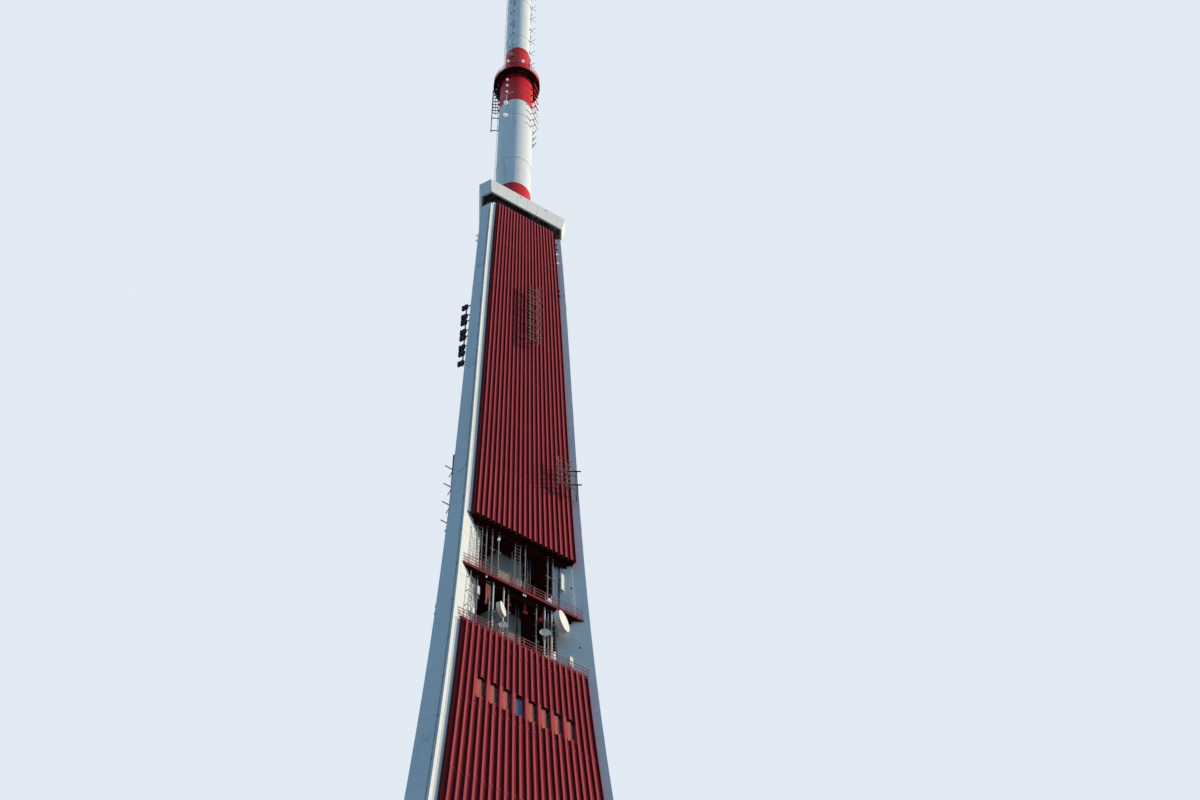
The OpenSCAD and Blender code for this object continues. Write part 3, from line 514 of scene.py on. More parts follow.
def paint(name, dirt, colour=None, roughness=0.5, fade=0.1, patches=0.4, streaks=0.3, scale=2.0, seam=0,
        seamOffset=0.0, seamTone=0.05, rust=0, metallic=0.0, bump=0.1, specular=0.1, coat=0.0, alpha=1.0, glow=0,
        bands=False, cast=False, paintedShade=None, inward=1.0):
    nodes, shader = newMaterial(name)
    source = mastBands(nodes) if bands else colour
    if cast:
        surface = nodes.place("castSurface", {"Color": colour, "Scale": 1.0})
        source = surface["Color"]
    if seam:
        joints = nodes.place("plateSeams", {"Spacing": seam, "Width": 0.003, "Offset": seamOffset})
        source = nodes.shade(source, nodes.plus(nodes.times(joints["Tone"], seamTone), 1 - seamTone))
    worn = nodes.place("weathering", {"Color": source, "Dirt Color": dirt, "Roughness": roughness, "Fade": fade,
        "Dirt": patches, "Streaks": streaks, "Scale": scale})
    result, height = worn["Color"], surface["Height"] if cast else worn["Height"]
    if seam:
        result = nodes.mix(nodes.times(joints["Seam"], 0.35), result, dirt)
        height = nodes.minus(height, joints["Seam"])
    if rust:
        spots = nodes.place("rustSpots", {"Amount": rust, "Scale": scale})
        result = nodes.mix(spots["Mask"], result, spots["Color"])
    # painted shade: faces towards the axis and undersides take the dark colour given for them, in place of their
    # shade
    if paintedShade:
        shadeMask = nodes.place("paintedShadeMask", {"Inward": inward, "Under": 1.0})
        result = nodes.mix(shadeMask["Mask"], result, paintedShade)
    bumps = nodes.add("Bump", {"Strength": bump, "Distance": 0.004, "Height": height})
    nodes.fill(shader, {"Base Color": result, "Roughness": worn["Roughness"], "Normal": bumps.outputs[0],
        "Metallic": metallic, "Specular IOR Level": specular, "Coat Weight": coat, "Alpha": alpha})
    if glow:
        nodes.fill(shader, {"Emission Color": result, "Emission Strength": glow})


for name, values in finishes.items():
    paint(name, **values)
print("materials made:", len(materials))

nodeFinish = {"castConcrete": "foundation", "shaftSteel": "central_shaft", "deckPane": "deck_windows",
    "paleSteel": "leg_front_left leg_front_right leg_back pillar_front_left pillar_front_right pillar_back",
    "greySteel": "deck_wall_front deck_wall_right deck_wall_left knee_floor deck_floor deck_roof cap_roof",
    "redCladding": "lower_cladding_front lower_cladding_right lower_cladding_left upper_cladding_front "
        "upper_cladding_right upper_cladding_left", "windowPane": "window_glass", "bandCream": "cap_band",
    "redSteel": "window_frames gallery_floor_low gallery_floor_mid gallery_floor_high",
    "darkSteel": "cap_lattice mast_ring_dipoles pillar_aerials", "lampWhite": "mast_lights",
    "mastPaint": "mast_tube_low mast_tube_middle mast_tube_high mast_tip mast_gallery",
    "mastTrim": "mast_collars mast_side_dipoles", "signalWhite": "mast_forked_dipoles",
    "pinkSteel": "railing_low railing_mid", "galvanised": "railing_deck service_pipes",
    "aerialCream": "dish_large dishes_small panel_aerials", "aerialGrey": "wall_aerial edge_aerial"}
for finish, names in nodeFinish.items():
    for name in names.split():
        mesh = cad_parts[name].data
        if not mesh.materials:
            mesh.materials.append(materials[finish])
        for i in range(len(mesh.materials)):
            mesh.materials[i] = materials[finish]
print("model nodes finished")

# Cladding: joint straps over ribs and bays, and their screws
claddingJoints = {"rows": 14, "first": 10.89, "spacing": 0.84, "height": 0.012, "proud": 0.0016, "screw": 0.0022}


def ribShares(ribs):
    pitch = 2 / (ribs + 0.8)
    return pitch, [(i - (ribs - 1) / 2) * pitch for i in range(ribs)]


def makeCladdingJoints():
    values = claddingJoints
    straps, screws = shapes(2)
    back, proud, front = tower["cladding"], values["proud"], tower["cladding"] + tower["rib"]
    for bottom, top, ribs in claddings:
        pitch, shares = ribShares(ribs)
        for row in range(values["rows"]):
            z = values["first"] + row * values["spacing"]
            if not bottom + 0.03 < z < top - 0.03 or tower["windowSill"] - 0.02 < z < windowTop:
                continue
            half, zs = bent(wallHalf, z), span(z, values["height"] / 2)
            rib = pitch * tower["ribFill"] / 2 * half
            for k in range(3):
                for x in [share * half for share in shares]:
                    straps.wallBlock(k, span(x, rib + proud), (front - 0.004, front + proud), zs)
                    straps.wallBlock(k, (x + rib, x + pitch * half - rib), (back - 0.004, back + proud), zs)
                    for side in (-0.55, 0.55):
                        screws.bolt(wallPoint(k, x + rib * side, front + proud - 0.0002, z), wallOut[k],
                            values["screw"], 0.0014)
    makePieces(claddingJoints=(straps, "redCladding"), claddingScrews=(screws, "galvanised"))


makeCladdingJoints()
print("cladding joints made")

# Painted shade: dark channels that line the bays between the ribs, run up the ribs' flanks and lap over part of each
# rib's front, each a thin sheet with two beads, and closing strips at the walls' left ends
shadeChannelParts = {"sheet": 0.0007, "bead": (0.003, 0.0016), "lip": 0.86, "lap": 0.36, "seat": 0.0005,
    "clear": (0.008, 0.006), "closers": [(-0.001, 0.012), (0.012, 0.0465)], "closerOut": (0.0262, 0.028)}


def makePaintedShadeChannels():
    values = shadeChannelParts
    shadeChannels, brown, pale = shapes(3)
    base, t, seat = tower["cladding"], values["sheet"], values["seat"]
    front, lip = base + tower["rib"], base + tower["rib"] * values["lip"]
    low, high = tower["windowSill"] - values["clear"][0], windowTop + values["clear"][1]
    bottom, top, ribs = claddings[0]
    spans = [(bottom, low, ribs), (high, top, ribs), claddings[1], (low, high, ribs)]
    for bottom, top, ribs in spans:
        pitch, shares = ribShares(ribs)
        fill = pitch * tower["ribFill"]
        for k in range(3):
            for i in range(-1, ribs):
                # beside the window row only the outermost bays are free
                if bottom == low and 2 <= i <= ribs - 4:
                    continue
                rings = []
                for z in bends(bottom, top):
                    half = bent(wallHalf, z)
                    left = (shares[i] + fill / 2) * half if i >= 0 else 0.004 - half
                    right = (shares[i + 1] - fill / 2) * half if i < ribs - 1 else half - 0.004
                    lap = fill * half * values["lap"] if i >= 0 else seat
                    line = [(left - lap, front), (left - lap, front + t), (left + t, front + t), (left + t, base + t)]
                    for x in (left + (right - left) * s for s in (0.3, 0.7)):
                        side, proud = values["bead"]
                        line += [(x - side, base + t), (x, base + t + proud), (x + side, base + t)]
                    line += [(right - t, base + t), (right - t, lip), (right, lip), (right, base - seat),
                        (left, base - seat), (left, front)]
                    rings.append([wallPoint(k, x, out, z) for x, out in line])
                shadeChannels.loft(rings)
    makePiece(shadeChannels, "claddingShadeChannels", "paintedShadeChannel")
    out0, out1 = values["closerOut"]
    # the brown strip next to the cladding is painted shade of the groove between the cladding's end and the pillar;
    # the pale one has the pillar's own paint
    for i in (0, 3, 1, 2):
        for k in range(3):
            for shape, (x0, x1) in zip((brown, pale), values["closers"]):
                corners = ((x0, out0), (x1, out0), (x1, out1), (x0, out1))
                shape.loft([[wallPoint(k, -bent(wallHalf, z) - x, out, z) for x, out in corners]
                    for z in bends(*spans[i][:2])])
    makePieces(claddingClosers=(brown, "brownTrim"), pillarClosers=(pale, "paleSteel"))


makePaintedShadeChannels()

# Floor on the lower cladding: it ends at the pillars, with an edge channel and chequer plates
lowFloor = {"thickness": 0.03, "out": 0.03, "flange": (0.004, 0.003), "plates": 7, "plateShare": 0.92,
    "plateDepth": 0.16}


def makeLowFloor():
    values = lowFloor
    shape = Shape()
    z0 = tower["lowerTop"]
    z1 = z0 + values["thickness"]
    half, radius = bent(wallHalf, z0), bent(wallRadius, z0)
    flange, inset = values["flange"]
    edge = ((z0, 0), (z0 + flange, 0), (z0 + flange, inset), (z1 - flange, inset), (z1 - flange, 0), (z1, 0))
    rings = [[turn @ Vector((side * (half + 0.004), -radius - (values["out"] - back), z)) for turn in wallTurns
        for side in (-1, 1)] for z, back in edge]
    rings += [[around(a, tower["shaft"] - 0.002, z) for a in range(-120, 181, 60)] for z in (z1, z0)]
    shape.loft(list(zip(*rings)), closed=True)
    step = 2 * half * values["plateShare"] / values["plates"]
    for turn in wallTurns:
        for i in range(values["plates"]):
            x0 = -half * values["plateShare"] + step * i
            x1 = x0 + step - 0.004
            depth = min(values["plateDepth"], (half - max(abs(x0), abs(x1))) / tan60 + 0.02)
            if depth > 0.03:
                shape.block(spot(turn, 0, -radius), (x0, x1), (0.012, 0.012 + depth), (z1 - 0.001, z1 + 0.0025))
    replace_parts(makePiece(shape, "lowerGalleryFloor", "redSteel"), "gallery_floor_low")


makeLowFloor()
print("channels and lower gallery floor made")

# Windows: slatted blinds half drawn in front of the panes, sills and head flashings
windowParts = {"count": 8, "openWindow": 3, "blind": (0.0284, 0.0304), "slats": 16, "drawn": 0.12,
    "sillProud": 0.006, "flashing": 0.009}


def makeWindowParts():
    values = windowParts
    blinds, skyReflectionPanels, trims = shapes(3)
    low, high, near = tower["windowSill"], windowTop, tower["cladding"]
    back, front = values["blind"]
    step = (high - low - 0.012) / values["slats"]
    pitch = ribShares(tower["lowerRibs"])[0] * bent(wallHalf, low + tower["windowHeight"] / 2)
    width = pitch * (2 - tower["ribFill"]) - 0.004
    half, edge, zs = width / 2 - 0.006, width / 2 + 0.002, (low + 0.004, high - 0.004)
    for k in range(3):
        for i in range(values["count"]):
            x = (2 * i - (values["count"] - 1)) * pitch
            drawn = x + half * values["drawn"]
            # painted reflection: the open window gets no blind, and a blue panel behind its glass stands for the sky
            # reflected in it
            if k == 0 and i == values["openWindow"]:
                skyReflectionPanels.wallBlock(k, span(x, half), (0.018, 0.02), zs)
                skyReflectionPanels.wallBlock(k, (x - half, x - half + 0.004), (0.016, 0.0235), zs)
                skyReflectionPanels.wallBlock(k, (x + half - 0.004, x + half), (0.016, 0.0235), zs)
            else:
                for j in range(values["slats"]):
                    z = low + 0.006 + (j + 0.5) * step
                    corners = [(back, z - step * 0.52), (front, z + step * 0.36), (front - 0.0006, z + step * 0.52),
                        (back - 0.0003, z - step * 0.36)]
                    blinds.loft([[wallPoint(k, side, out, zz) for out, zz in corners] for side in (x - half, drawn)])
                blinds.wallBlock(k, (drawn, drawn + 0.003), (back - 0.0004, front), zs)
                for cord in (-0.7, -0.1):
                    blinds.path([wallPoint(k, x + half * cord, front + 0.0004, z) for z in (low + 0.008,
                        high - 0.008)], 0.0007, 5)
            trims.wallBlock(k, span(x, edge), (near - 0.004, near + values["sillProud"]), (low - 0.007, low - 0.001))
            trims.wallBlock(k, span(x, edge - 0.003), (near - 0.004, near + values["flashing"]), (high + 0.001,
                high + 0.005))
            for side in (-1, 1):
                trims.wallBlock(k, span(x + side * edge, 0.001), (near - 0.004, near + 0.0035), (low - 0.001,
                    high + 0.001))
    makePieces(windowBlinds=(blinds, "blindOrange"), openWindowReveal=(skyReflectionPanels, "boxBlue", "dark_steel"),
        windowTrims=(trims, "redSteel"))


makeWindowParts()
print("window parts made")

# Pillars and legs: weld straps round the boxes, hatches, and lightning conductors down the outer faces
pillarParts = {"knee": 8.8, "first": 0.73, "last": 21.6, "step": 0.62, "height": 0.008, "proud": 0.0012,
    "hatch": (0.062, 0.1), "hatchHeights": [1.5, 3.4, 8.2, 11.6, 12.9, 16.6, 18.4, 20.4], "conductor": 0.0022,
    "conductorSide": 0.38, "hold": 0.5}


def boxStrap(shape, k, z, height, proud):
    # round the whole box of a leg, and round the outer half of a pillar
    half, depth, knee = bent(pillarWidth, z) / 2, bent(pillarDepth, z), pillarParts["knee"]
    across, zs = span(0, half + proud), span(z, height / 2)

    def place(x, y, z):
        return pillarPoint(k, x, y, z)

    shape.block(place, (-0.003, proud), across, zs)
    inner = -min(depth, 0.085) if z > knee else -depth
    for ys in ((-half - proud, 0.003 - half), (half - 0.003, half + proud)):
        shape.block(place, (inner, -0.003), ys, zs)
    if z < knee:
        shape.block(place, (-depth - proud, 0.003 - depth), across, zs)


def makePillarParts():
    values = pillarParts
    straps, hatches, bolts, conductors = shapes(4)
    width, height = values["hatch"]
    heights = [0.1 + i * values["hold"] for i in range(44)]
    for k in range(3):
        z = values["first"]
        while z < values["last"]:
            if not values["knee"] - 0.1 < z < values["knee"] + 0.15:
                boxStrap(straps, k, z, values["height"], values["proud"])
            z += values["step"]
        for z in values["hatchHeights"]:
            for grow, low, high in ((0.004, -0.003, 0.0016), (0.0, 0.0014, 0.0042)):
                hatches.block(lambda x, y, zz: pillarPoint(k, x, y, zz), (low, high), span(0, width / 2 + grow),
                    span(z, height / 2 + grow))
            for y in (-0.41, 0.41):
                for share in (-0.8, -0.27, 0.27, 0.8):
                    bolts.bolt(pillarPoint(k, 0.004, y * width, z + share * height / 2), pillarTurns[k]
                        @ Vector((1, 0, 0)), 0.0024, 0.0018)
            hatches.path([pillarPoint(k, x, y, z - height * 0.2) for x, y in ((0.004, -0.012), (0.01, -0.012),
                (0.01, 0.012), (0.004, 0.012))], 0.0013, 6)
        side = values["conductorSide"]
        conductors.path([pillarPoint(k, 0.004, bent(pillarWidth, z) * side, z) for z in heights],
            values["conductor"], 6)
        for z in heights[1:]:
            conductors.block(lambda x, y, zz: pillarPoint(k, x, bent(pillarWidth, zz) * side + y, zz),
                (-0.002, 0.0065), (-0.006, 0.006), span(z, 0.004))
    makePieces(pillarStraps=(straps, "paleSteel"), pillarHatches=(hatches, "paleSteel"),
        hatchBolts=(bolts, "galvanised"), lightningConductors=(conductors, "galvanised"))


makePillarParts()

# Small fittings on the sides of the front pillars: pillar, height, distance behind the outer face, size
sideFittings = {"dark": [(1, 21.64, 0.045, 0.0055), (1, 21.54, 0.045, 0.0055), (1, 20.645, 0.055, 0.0055),
    (1, 20.543, 0.055, 0.0055), (0, 14.635, 0.02, 0.012), (0, 14.535, 0.02, 0.012), (1, 15.62, 0.12, 0.004),
    (1, 14.83, 0.1, 0.004)], "pale": [(1, 21.43, 0.05, 0.006), (1, 21.24, 0.05, 0.006)],
    "stubs": [(21.22, 0.05), (21.1, 0.05)]}


def makeSideFittings():
    for tone, finish in (("dark", "darkSteel"), ("pale", "lampWhite")):
        shape = Shape()
        for k, z, back, size in sideFittings[tone]:
            half = bent(pillarWidth, z) / 2
            shape.turned(pillarPoint(k, -back, 0.002 - half, z), pillarTurns[k] @ Vector((0, -1, 0)),
                [(size * 1.25, 0), (size * 1.25, 0.004), (size, 0.005), (size, 0.013), (size * 0.7, 0.017),
                (0.0005, 0.018)], 16)
            shape.block(lambda x, y, zz: pillarPoint(k, x, y, zz), span(-back, size * 1.6), (-half - 0.003,
                0.002 - half), span(z, size * 1.6))
        makePiece(shape, tone + "SideFittings", finish)
    stubs = Shape()
    for z, back in sideFittings["stubs"]:
        half = bent(pillarWidth, z) / 2
        stubs.path([pillarPoint(0, -back, -half - out, z) for out in (-0.003, 0.05)], 0.003)
        stubs.hoop(pillarPoint(0, -back, -half - 0.044, z), up, 0.012, 0.0022, 20)
    makePiece(stubs, "sideStubs", "darkSteel")


makeSideFittings()
print("pillar parts made")

# Feet: base plates, gussets and anchor bolts
footParts = {"plate": 0.018, "margin": 0.032, "gusset": (0.028, 0.11), "bolt": 0.007, "pitch": 0.072}
footBack, footHalf = tower["footFace"] - tower["footDepth"], tower["footWidth"] / 2


def makeFeet():
    values = footParts
    plates, gussets, bolts = shapes(3)
    z0, top, margin, bolt = tower["foot"], tower["foot"] + values["plate"], values["margin"], values["bolt"]
    reach, tall = values["gusset"]
    for turn in pillarTurns:
        place = spot(turn)
        for grow, thick in ((0, 1), (0.004, 0.4)):
            plates.block(place, (footBack - margin - grow, tower["footFace"] + margin - 0.006 + grow),
                span(0, footHalf + margin + grow), (z0 - 0.001, z0 + values["plate"] * thick))
        for side in (-1, 1):
            near, far = side * (footHalf - 0.004), side * (footHalf + reach)
            for i in range(6):
                x = footBack + 0.03 + i * values["pitch"]
                gussets.loft([[place(x + t, y, z) for y, z in ((near, top - 0.002), (far, top - 0.002),
                    (far, top + 0.012), (near, top + tall))] for t in (-0.003, 0.003)])
            for i in range(7):
                centre = place(footBack - 0.005 + i * values["pitch"], side * (footHalf + 0.018), top)
                bolts.bolt(centre, up, bolt * 1.5, 0.009)
                bolts.turned(centre, up, knob(bolt * 0.7, 0.02, bolt * 0.5, 0.022), 12)
        for i in range(-2, 3):
            bolts.bolt(place(footBack - 0.018, i * 0.078, top), up, bolt * 1.5, 0.009)
    makePieces(footPlates=(plates, "greySteel", None, 0.0012), footGussets=(gussets, "greySteel"),
        anchorBolts=(bolts, "galvanised"))


makeFeet()

# Foundation: kerbs, joints between the pours, manholes on the tie beams
foundationParts = {"margin": 0.04, "kerb": 0.014, "beamHalf": 0.0595, "pours": 9, "covered": (2, 7),
    "manhole": 0.038}


def makeFoundationParts():
    values = foundationParts
    kerbs, covers = shapes(2)
    z0, t, r = tower["foot"], values["kerb"], values["manhole"]
    x0, x1 = footBack - values["margin"], tower["footFace"] + values["margin"]
    half = footHalf + values["margin"]
    middle = tower["footFace"] - tower["footDepth"] / 2
    pour = 2 * middle * cos30 / values["pours"]
    for k in range(3):
        for xs, ys in (((x0, x0 + t), (-half, half)), ((x1 - t, x1), (-half, half)), ((x0, x1), (-half, t - half)),
                ((x0, x1), (half - t, half))):
            kerbs.block(spot(pillarTurns[k]), xs, ys, (z0 - 0.002, z0 + 0.008))
        along = spot(wallTurns[k], -pour * values["pours"] / 2, -middle / 2)
        for i in range(1, values["pours"]):
            kerbs.block(along, span(pour * i, 0.004), span(0, values["beamHalf"]), (z0 - 0.002, z0 + 0.0025))
        for i in values["covered"]:
            centre = along(pour * (i + 0.5), 0, z0 - 0.001)
            covers.turned(centre, up, [(r * 1.15, 0), (r * 1.15, 0.005), (r * 1.02, 0.006), (r * 1.0, 0.0045),
                (r * 0.9, 0.0045), (r * 0.88, 0.0062), (0.001, 0.0062)], 40)
            for j in range(-3, 4):
                covers.block(lambda x, y, z: centre + Vector((x, y, z)), span(0, r * 0.6), span(j * 0.008, 0.0015),
                    (0.006, 0.0078))
    makePieces(foundationKerbs=(kerbs, "castConcrete", None, 0.0015), manholeCovers=(covers, "darkSteel"))


makeFoundationParts()
print("feet and foundation made")

# Floors: the steel framing under each of them, in a nearly black red that is painted shade
floorFraming = {"levels": [8.8, 9.65, 10.2, 14.41, 15.17, 15.93], "rows": [0.03, 0.15, 0.27], "height": 0.036,
    "width": 0.02, "joists": 9, "joistSize": (0.75, 0.8)}


def beam(shape, a, b, height, width):
    # rolled beam: two flanges and a web
    t = height * 0.14
    lift = up * (height / 2 - t / 2)
    shape.join(a + lift, b + lift, width, t)
    shape.join(a - lift, b - lift, width, t)
    shape.join(a, b, width * 0.22, height - 2 * t)


def makeFloorFraming():
    values = floorFraming
    shape = Shape()
    height, width, joists = values["height"], values["width"], values["joists"]
    tall, wide = values["joistSize"]
    for level in values["levels"]:
        half, radius = bent(wallHalf, level), bent(wallRadius, level)
        for turn in wallTurns:
            place = spot(turn, 0, -radius, level - height / 2 + 0.001)
            for row in values["rows"]:
                reach = half - row * tan60 + 0.004
                if reach > 0.1:
                    beam(shape, place(-reach, row, 0), place(reach, row, 0), height, width)
            for i in range(joists):
                x = (i - (joists - 1) / 2) * 2 * half / joists
                end = min(radius - tower["shaft"] * cos30 - 0.005, (half - abs(x)) / tan60 + 0.003)
                if end > 0.08:
                    beam(shape, place(x, 0.02, 0.004), place(x, end, 0.004), height * tall, width * wide)
    makePiece(shape, "floorFraming", "redShade")


makeFloorFraming()
print("floor framing made")

# Viewing deck: window frames, cover strips with bolts, and ledges (level, height, reach)
deckParts = {"windows": 9, "sill": 9.76, "head": 9.99, "paneShare": 0.84, "mullions": 2, "proud": 0.008,
    "strips": [(8.83, 9.62), (10.02, 10.17)], "stripWidth": 0.012, "boltStep": 0.09,
    "ledges": [(8.8, 0.03, 0.01), (9.645, 0.045, 0.012), (10.165, 0.035, 0.016)]}


def makeDeckParts():
    values = deckParts
    frames, strips, bolts, ledges = shapes(4)
    low, high, proud, w = values["sill"], values["head"], values["proud"], values["stripWidth"] / 2
    pitch = 2 * bent(wallHalf, high) / (values["windows"] + 0.6)
    half = pitch * values["paneShare"] / 2
    for k in range(3):
        for i in range(values["windows"]):
            x = (i - (values["windows"] - 1) / 2) * pitch
            frames.wallBlock(k, span(x, half + 0.008), (-0.002, proud + 0.006), (low - 0.012, low))
            frames.wallBlock(k, span(x, half + 0.008), (-0.002, proud), (high, high + 0.01))
            for xs in ((x - half - 0.008, x - half), (x + half, x + half + 0.008)):
                frames.wallBlock(k, xs, (-0.002, proud), (low, high))
            for j in range(1, values["mullions"] + 1):
                frames.wallBlock(k, span(x - half + 2 * half * j / (values["mullions"] + 1), 0.003),
                    (-0.008, 0.002), (low - 0.001, high + 0.001))
            frames.wallBlock(k, span(x, half), (-0.008, 0.001), (low + 0.155, low + 0.161))
        for level, top in values["strips"]:
            for share in [i / 5.4 for i in range(-5, 6)]:
                strips.loft([[wallPoint(k, share * bent(wallHalf, z) + a * w, out, z) for a, out in ((-1, -0.001),
                    (1, -0.001), (0.7, 0.004), (-0.7, 0.004))] for z in [level + (top - level) * j / 4
                    for j in range(5)]])
                for j in range(1 + int((top - level) / values["boltStep"])):
                    z = level + 0.03 + j * values["boltStep"]
                    bolts.bolt(wallPoint(k, share * bent(wallHalf, z), 0.0038, z), wallOut[k], 0.0028, 0.002)
        for level, height, reach in values["ledges"]:
            xs = span(0, bent(wallHalf, level) - 0.004)
            ledges.wallBlock(k, xs, (-0.002, reach), (level, level + height))
            ledges.wallBlock(k, xs, (-0.002, reach + 0.004), (level + height - 0.006, level + height - 0.001))
    makePieces(deckWindowFrames=(frames, "paleSteel"), deckCoverStrips=(strips, "greySteel"),
        deckBolts=(bolts, "galvanised"), deckLedges=(ledges, "greySteel", None, 0.001))


makeDeckParts()

roofUnits = {"size": (0.15, 0.09, 0.11), "shrink": 0.14, "places": [(-0.42, 0.13), (-0.16, 0.16), (0.24, 0.15),
    (0.52, 0.12)], "duct": 0.008, "ductLine": 0.24, "ductReach": 0.55, "saddles": 9, "saddleStep": 0.125}


def finnedUnit(shape, place, width, depth, height, fins):
    # cabinet on feet, with a lid, level fins on its front and a pipe's end, in the coordinates of place(x, y, z)
    x, y, foot, deep = width / 2, depth / 2, height * 0.06, -depth / 2 - depth * 0.1
    shape.block(place, (-x, x), (-y, y), (foot, height * 0.95))
    shape.block(place, span(0, x * 1.05), span(0, y * 1.07), (height * 0.95, height))
    for side in (-0.8, 0.8):
        shape.block(place, span(x * side, 0.004), span(0, y * 0.9), (0, foot + 0.001))
    for i in range(fins):
        z = foot + (height * 0.88 - foot) * (i + 0.7) / fins
        shape.loft([[place(end, yy, zz) for yy, zz in ((-y - 0.0005, z - 0.0016), (deep, z - 0.004),
            (deep, z - 0.0025), (-y + 0.0005, z + 0.0016))] for end in (-x * 0.88, x * 0.88)])
    shape.turned(place(x + 0.001, y * 0.3, height * 0.6), place(1, 0, 0) - place(0, 0, 0), [(0.0045, 0),
        (0.0045, 0.003), (0.002, 0.004), (0.002, 0.009), (0.0005, 0.0095)], 12)


def makeRoofUnits():
    values = roofUnits
    units, ducts = shapes(2)
    level = tower["deckRoof"] + tower["floor"] - 0.001
    radius, reach = bent(wallRadius, level), values["ductReach"]
    for k, turn in enumerate(wallTurns):
        for i, (x, inward) in enumerate(values["places"]):
            size = [side * (1 - values["shrink"] * (i % 3)) for side in values["size"]]
            finnedUnit(units, spot(turn, x, inward - radius, level), *size, 9)
        place = spot(turn, 0, values["ductLine"] - radius, level)
        ducts.bar(place, [(-reach, 0, 0.012), (reach, 0, 0.012)], values["duct"], 12)
        for i in range(values["saddles"]):
            x = (i - (values["saddles"] - 1) / 2) * values["saddleStep"]
            ducts.block(place, span(x, 0.004), (-0.014, 0.014), (0, 0.012))
            ducts.hoop(place(x, 0, 0.012), wallSide[k], 0.0088, 0.0014, 16)
    makePieces(deckRoofUnits=(units, "boxBlue", None, 0.0008), deckRoofDucts=(ducts, "galvanised"))


makeRoofUnits()
print("deck parts made")

# Open gallery: shares of a wall's half width at the upper end of each storey, clamps, trays and toe boards
galleryParts = {"toeBoard": 0.018, "pipes": {"lower": [-0.75, -0.535, -0.21, 0.285, 0.49],
    "upper": [-0.64, -0.53, -0.41, 0.1, 0.53, 0.63]}, "ladders": [("lower", 0.61), ("upper", -0.77),
    ("upper", -0.045)], "cage": 0.036, "cageStep": 0.12, "clampStep": 0.145, "tray": 0.03,
    "trays": [("lower", -0.42, 0.1), ("lower", 0.05, 0.12), ("upper", 0.28, 0.12), ("upper", 0.8, 0.06)],
    "trayCables": (-0.0095, -0.0045, 0.001, 0.0065), "pipeDepth": 0.03}
galleryLevels = {"lower": (tower["lowerTop"] + tower["floor"], tower["gallery"]),
    "upper": (tower["gallery"] + tower["floor"], tower["upperBottom"])}


def galleryPlace(k, share, level, inward=galleryParts["pipeDepth"]):
    # where an upright of the model stands, on the line of its upper end
    z = galleryLevels[level][1]
    return spot(wallTurns[k], share * bent(wallHalf, z), inward - bent(wallRadius, z))


def makeGalleryPipeFittings():
    values = galleryParts
    clamps, tees = shapes(2)
    for k in range(3):
        for level, shares in values["pipes"].items():
            z0, z1 = galleryLevels[level]
            for share in shares:
                place = galleryPlace(k, share, level)
                z = z0 + 0.05
                while z < z1 - 0.04:
                    clamps.hoop(place(0, 0, z), up, 0.0056, 0.0012, 14)
                    clamps.block(place, (-0.002, 0.002), (0.005, 0.016), span(z, 0.002))
                    clamps.block(place, (-0.01, 0.01), (0.014, 0.018), span(z, 0.003))
                    z += values["clampStep"]
                for end in (z0, z1 - 0.008):
                    clamps.turned(place(0, 0, end), up, [(0.011, 0), (0.011, 0.004), (0.0068, 0.005),
                        (0.0066, 0.008)], 20)
                for j, height in enumerate((0.36, 0.62)):
                    if (j + int(share * 100)) % 2 == 0:
                        z = z0 + (z1 - z0) * height
                        tees.turned(place(0, 0, z - 0.012), up, [(0.005, 0), (0.0076, 0.001), (0.0076, 0.023),
                            (0.005, 0.024)], 16)
                        tees.turned(place(0.003, 0, z), wallSide[k], [(0.0056, 0), (0.0056, 0.012), (0.0074, 0.013),
                            (0.0074, 0.019), (0.003, 0.021)], 14)
    makePieces(pipeClamps=(clamps, "galvanised"), pipeTees=(tees, "galvanised"))


def makeLadderCages():
    hoops, brackets = shapes(2)
    radius = galleryParts["cage"]

    def ringPoint(place, angle, r, z):
        turn = math.radians(angle)
        return place(r * math.cos(turn), 0.028 + r * math.sin(turn), z)

    for level, share in galleryParts["ladders"]:
        z0, z1 = galleryLevels[level]
        heights = [z for z in [z0 + 0.24 + i * galleryParts["cageStep"] for i in range(5)] if z < z1 - 0.03]
        for k in range(3):
            place = galleryPlace(k, share, level)
            for z in heights:
                arc = [ringPoint(place, -40 + 260 * i / 12, radius, z) for i in range(13)]
                hoops.path([place(0.024, 0, z)] + arc + [place(-0.024, 0, z)], 0.0013, 6)
            for angle in (0, 60, 90, 120, 180):
                hoops.path([ringPoint(place, angle, radius - 0.001, z) for z in (heights[0] - 0.004,
                    heights[-1] + 0.004)], 0.0011, 6)
            for i in range(4):
                z = z0 + 0.06 + i * (z1 - z0 - 0.12) / 3
                for x in (-0.026, 0.026):
                    brackets.block(place, span(x, 0.005), (-0.003, 0.003), span(z, 0.003))
    makePieces(ladderCages=(hoops, "galvanised"), ladderBrackets=(brackets, "galvanised"))


def makeCableTrays():
    trays, cables = shapes(2)
    w = galleryParts["tray"] / 2
    for level, share, inward in galleryParts["trays"]:
        z0, z1 = galleryLevels[level]
        steps = int((z1 - z0) / 0.04)
        for k in range(3):
            place = galleryPlace(k, share, level, inward)
            for xs in ((-w, 0.0025 - w), (w - 0.0025, w)):
                trays.block(place, xs, (-0.004, 0.004), (z0 - 0.001, z1 + 0.001))
            for i in range(1, steps):
                trays.block(place, (-w, w), (-0.0015, 0.001), span(z0 + i * (z1 - z0) / steps, 0.0015))
            for i, x in enumerate(galleryParts["trayCables"]):
                cables.path([place(x + random.uniform(-0.0006, 0.0006), -0.0036, z0 + (z1 - z0) * j / 10)
                    for j in range(11)], 0.0019 + 0.0005 * (i % 2), 7)
    makePieces(cableTrays=(trays, "galvanised"), trayCables=(cables, "cableBlack"))


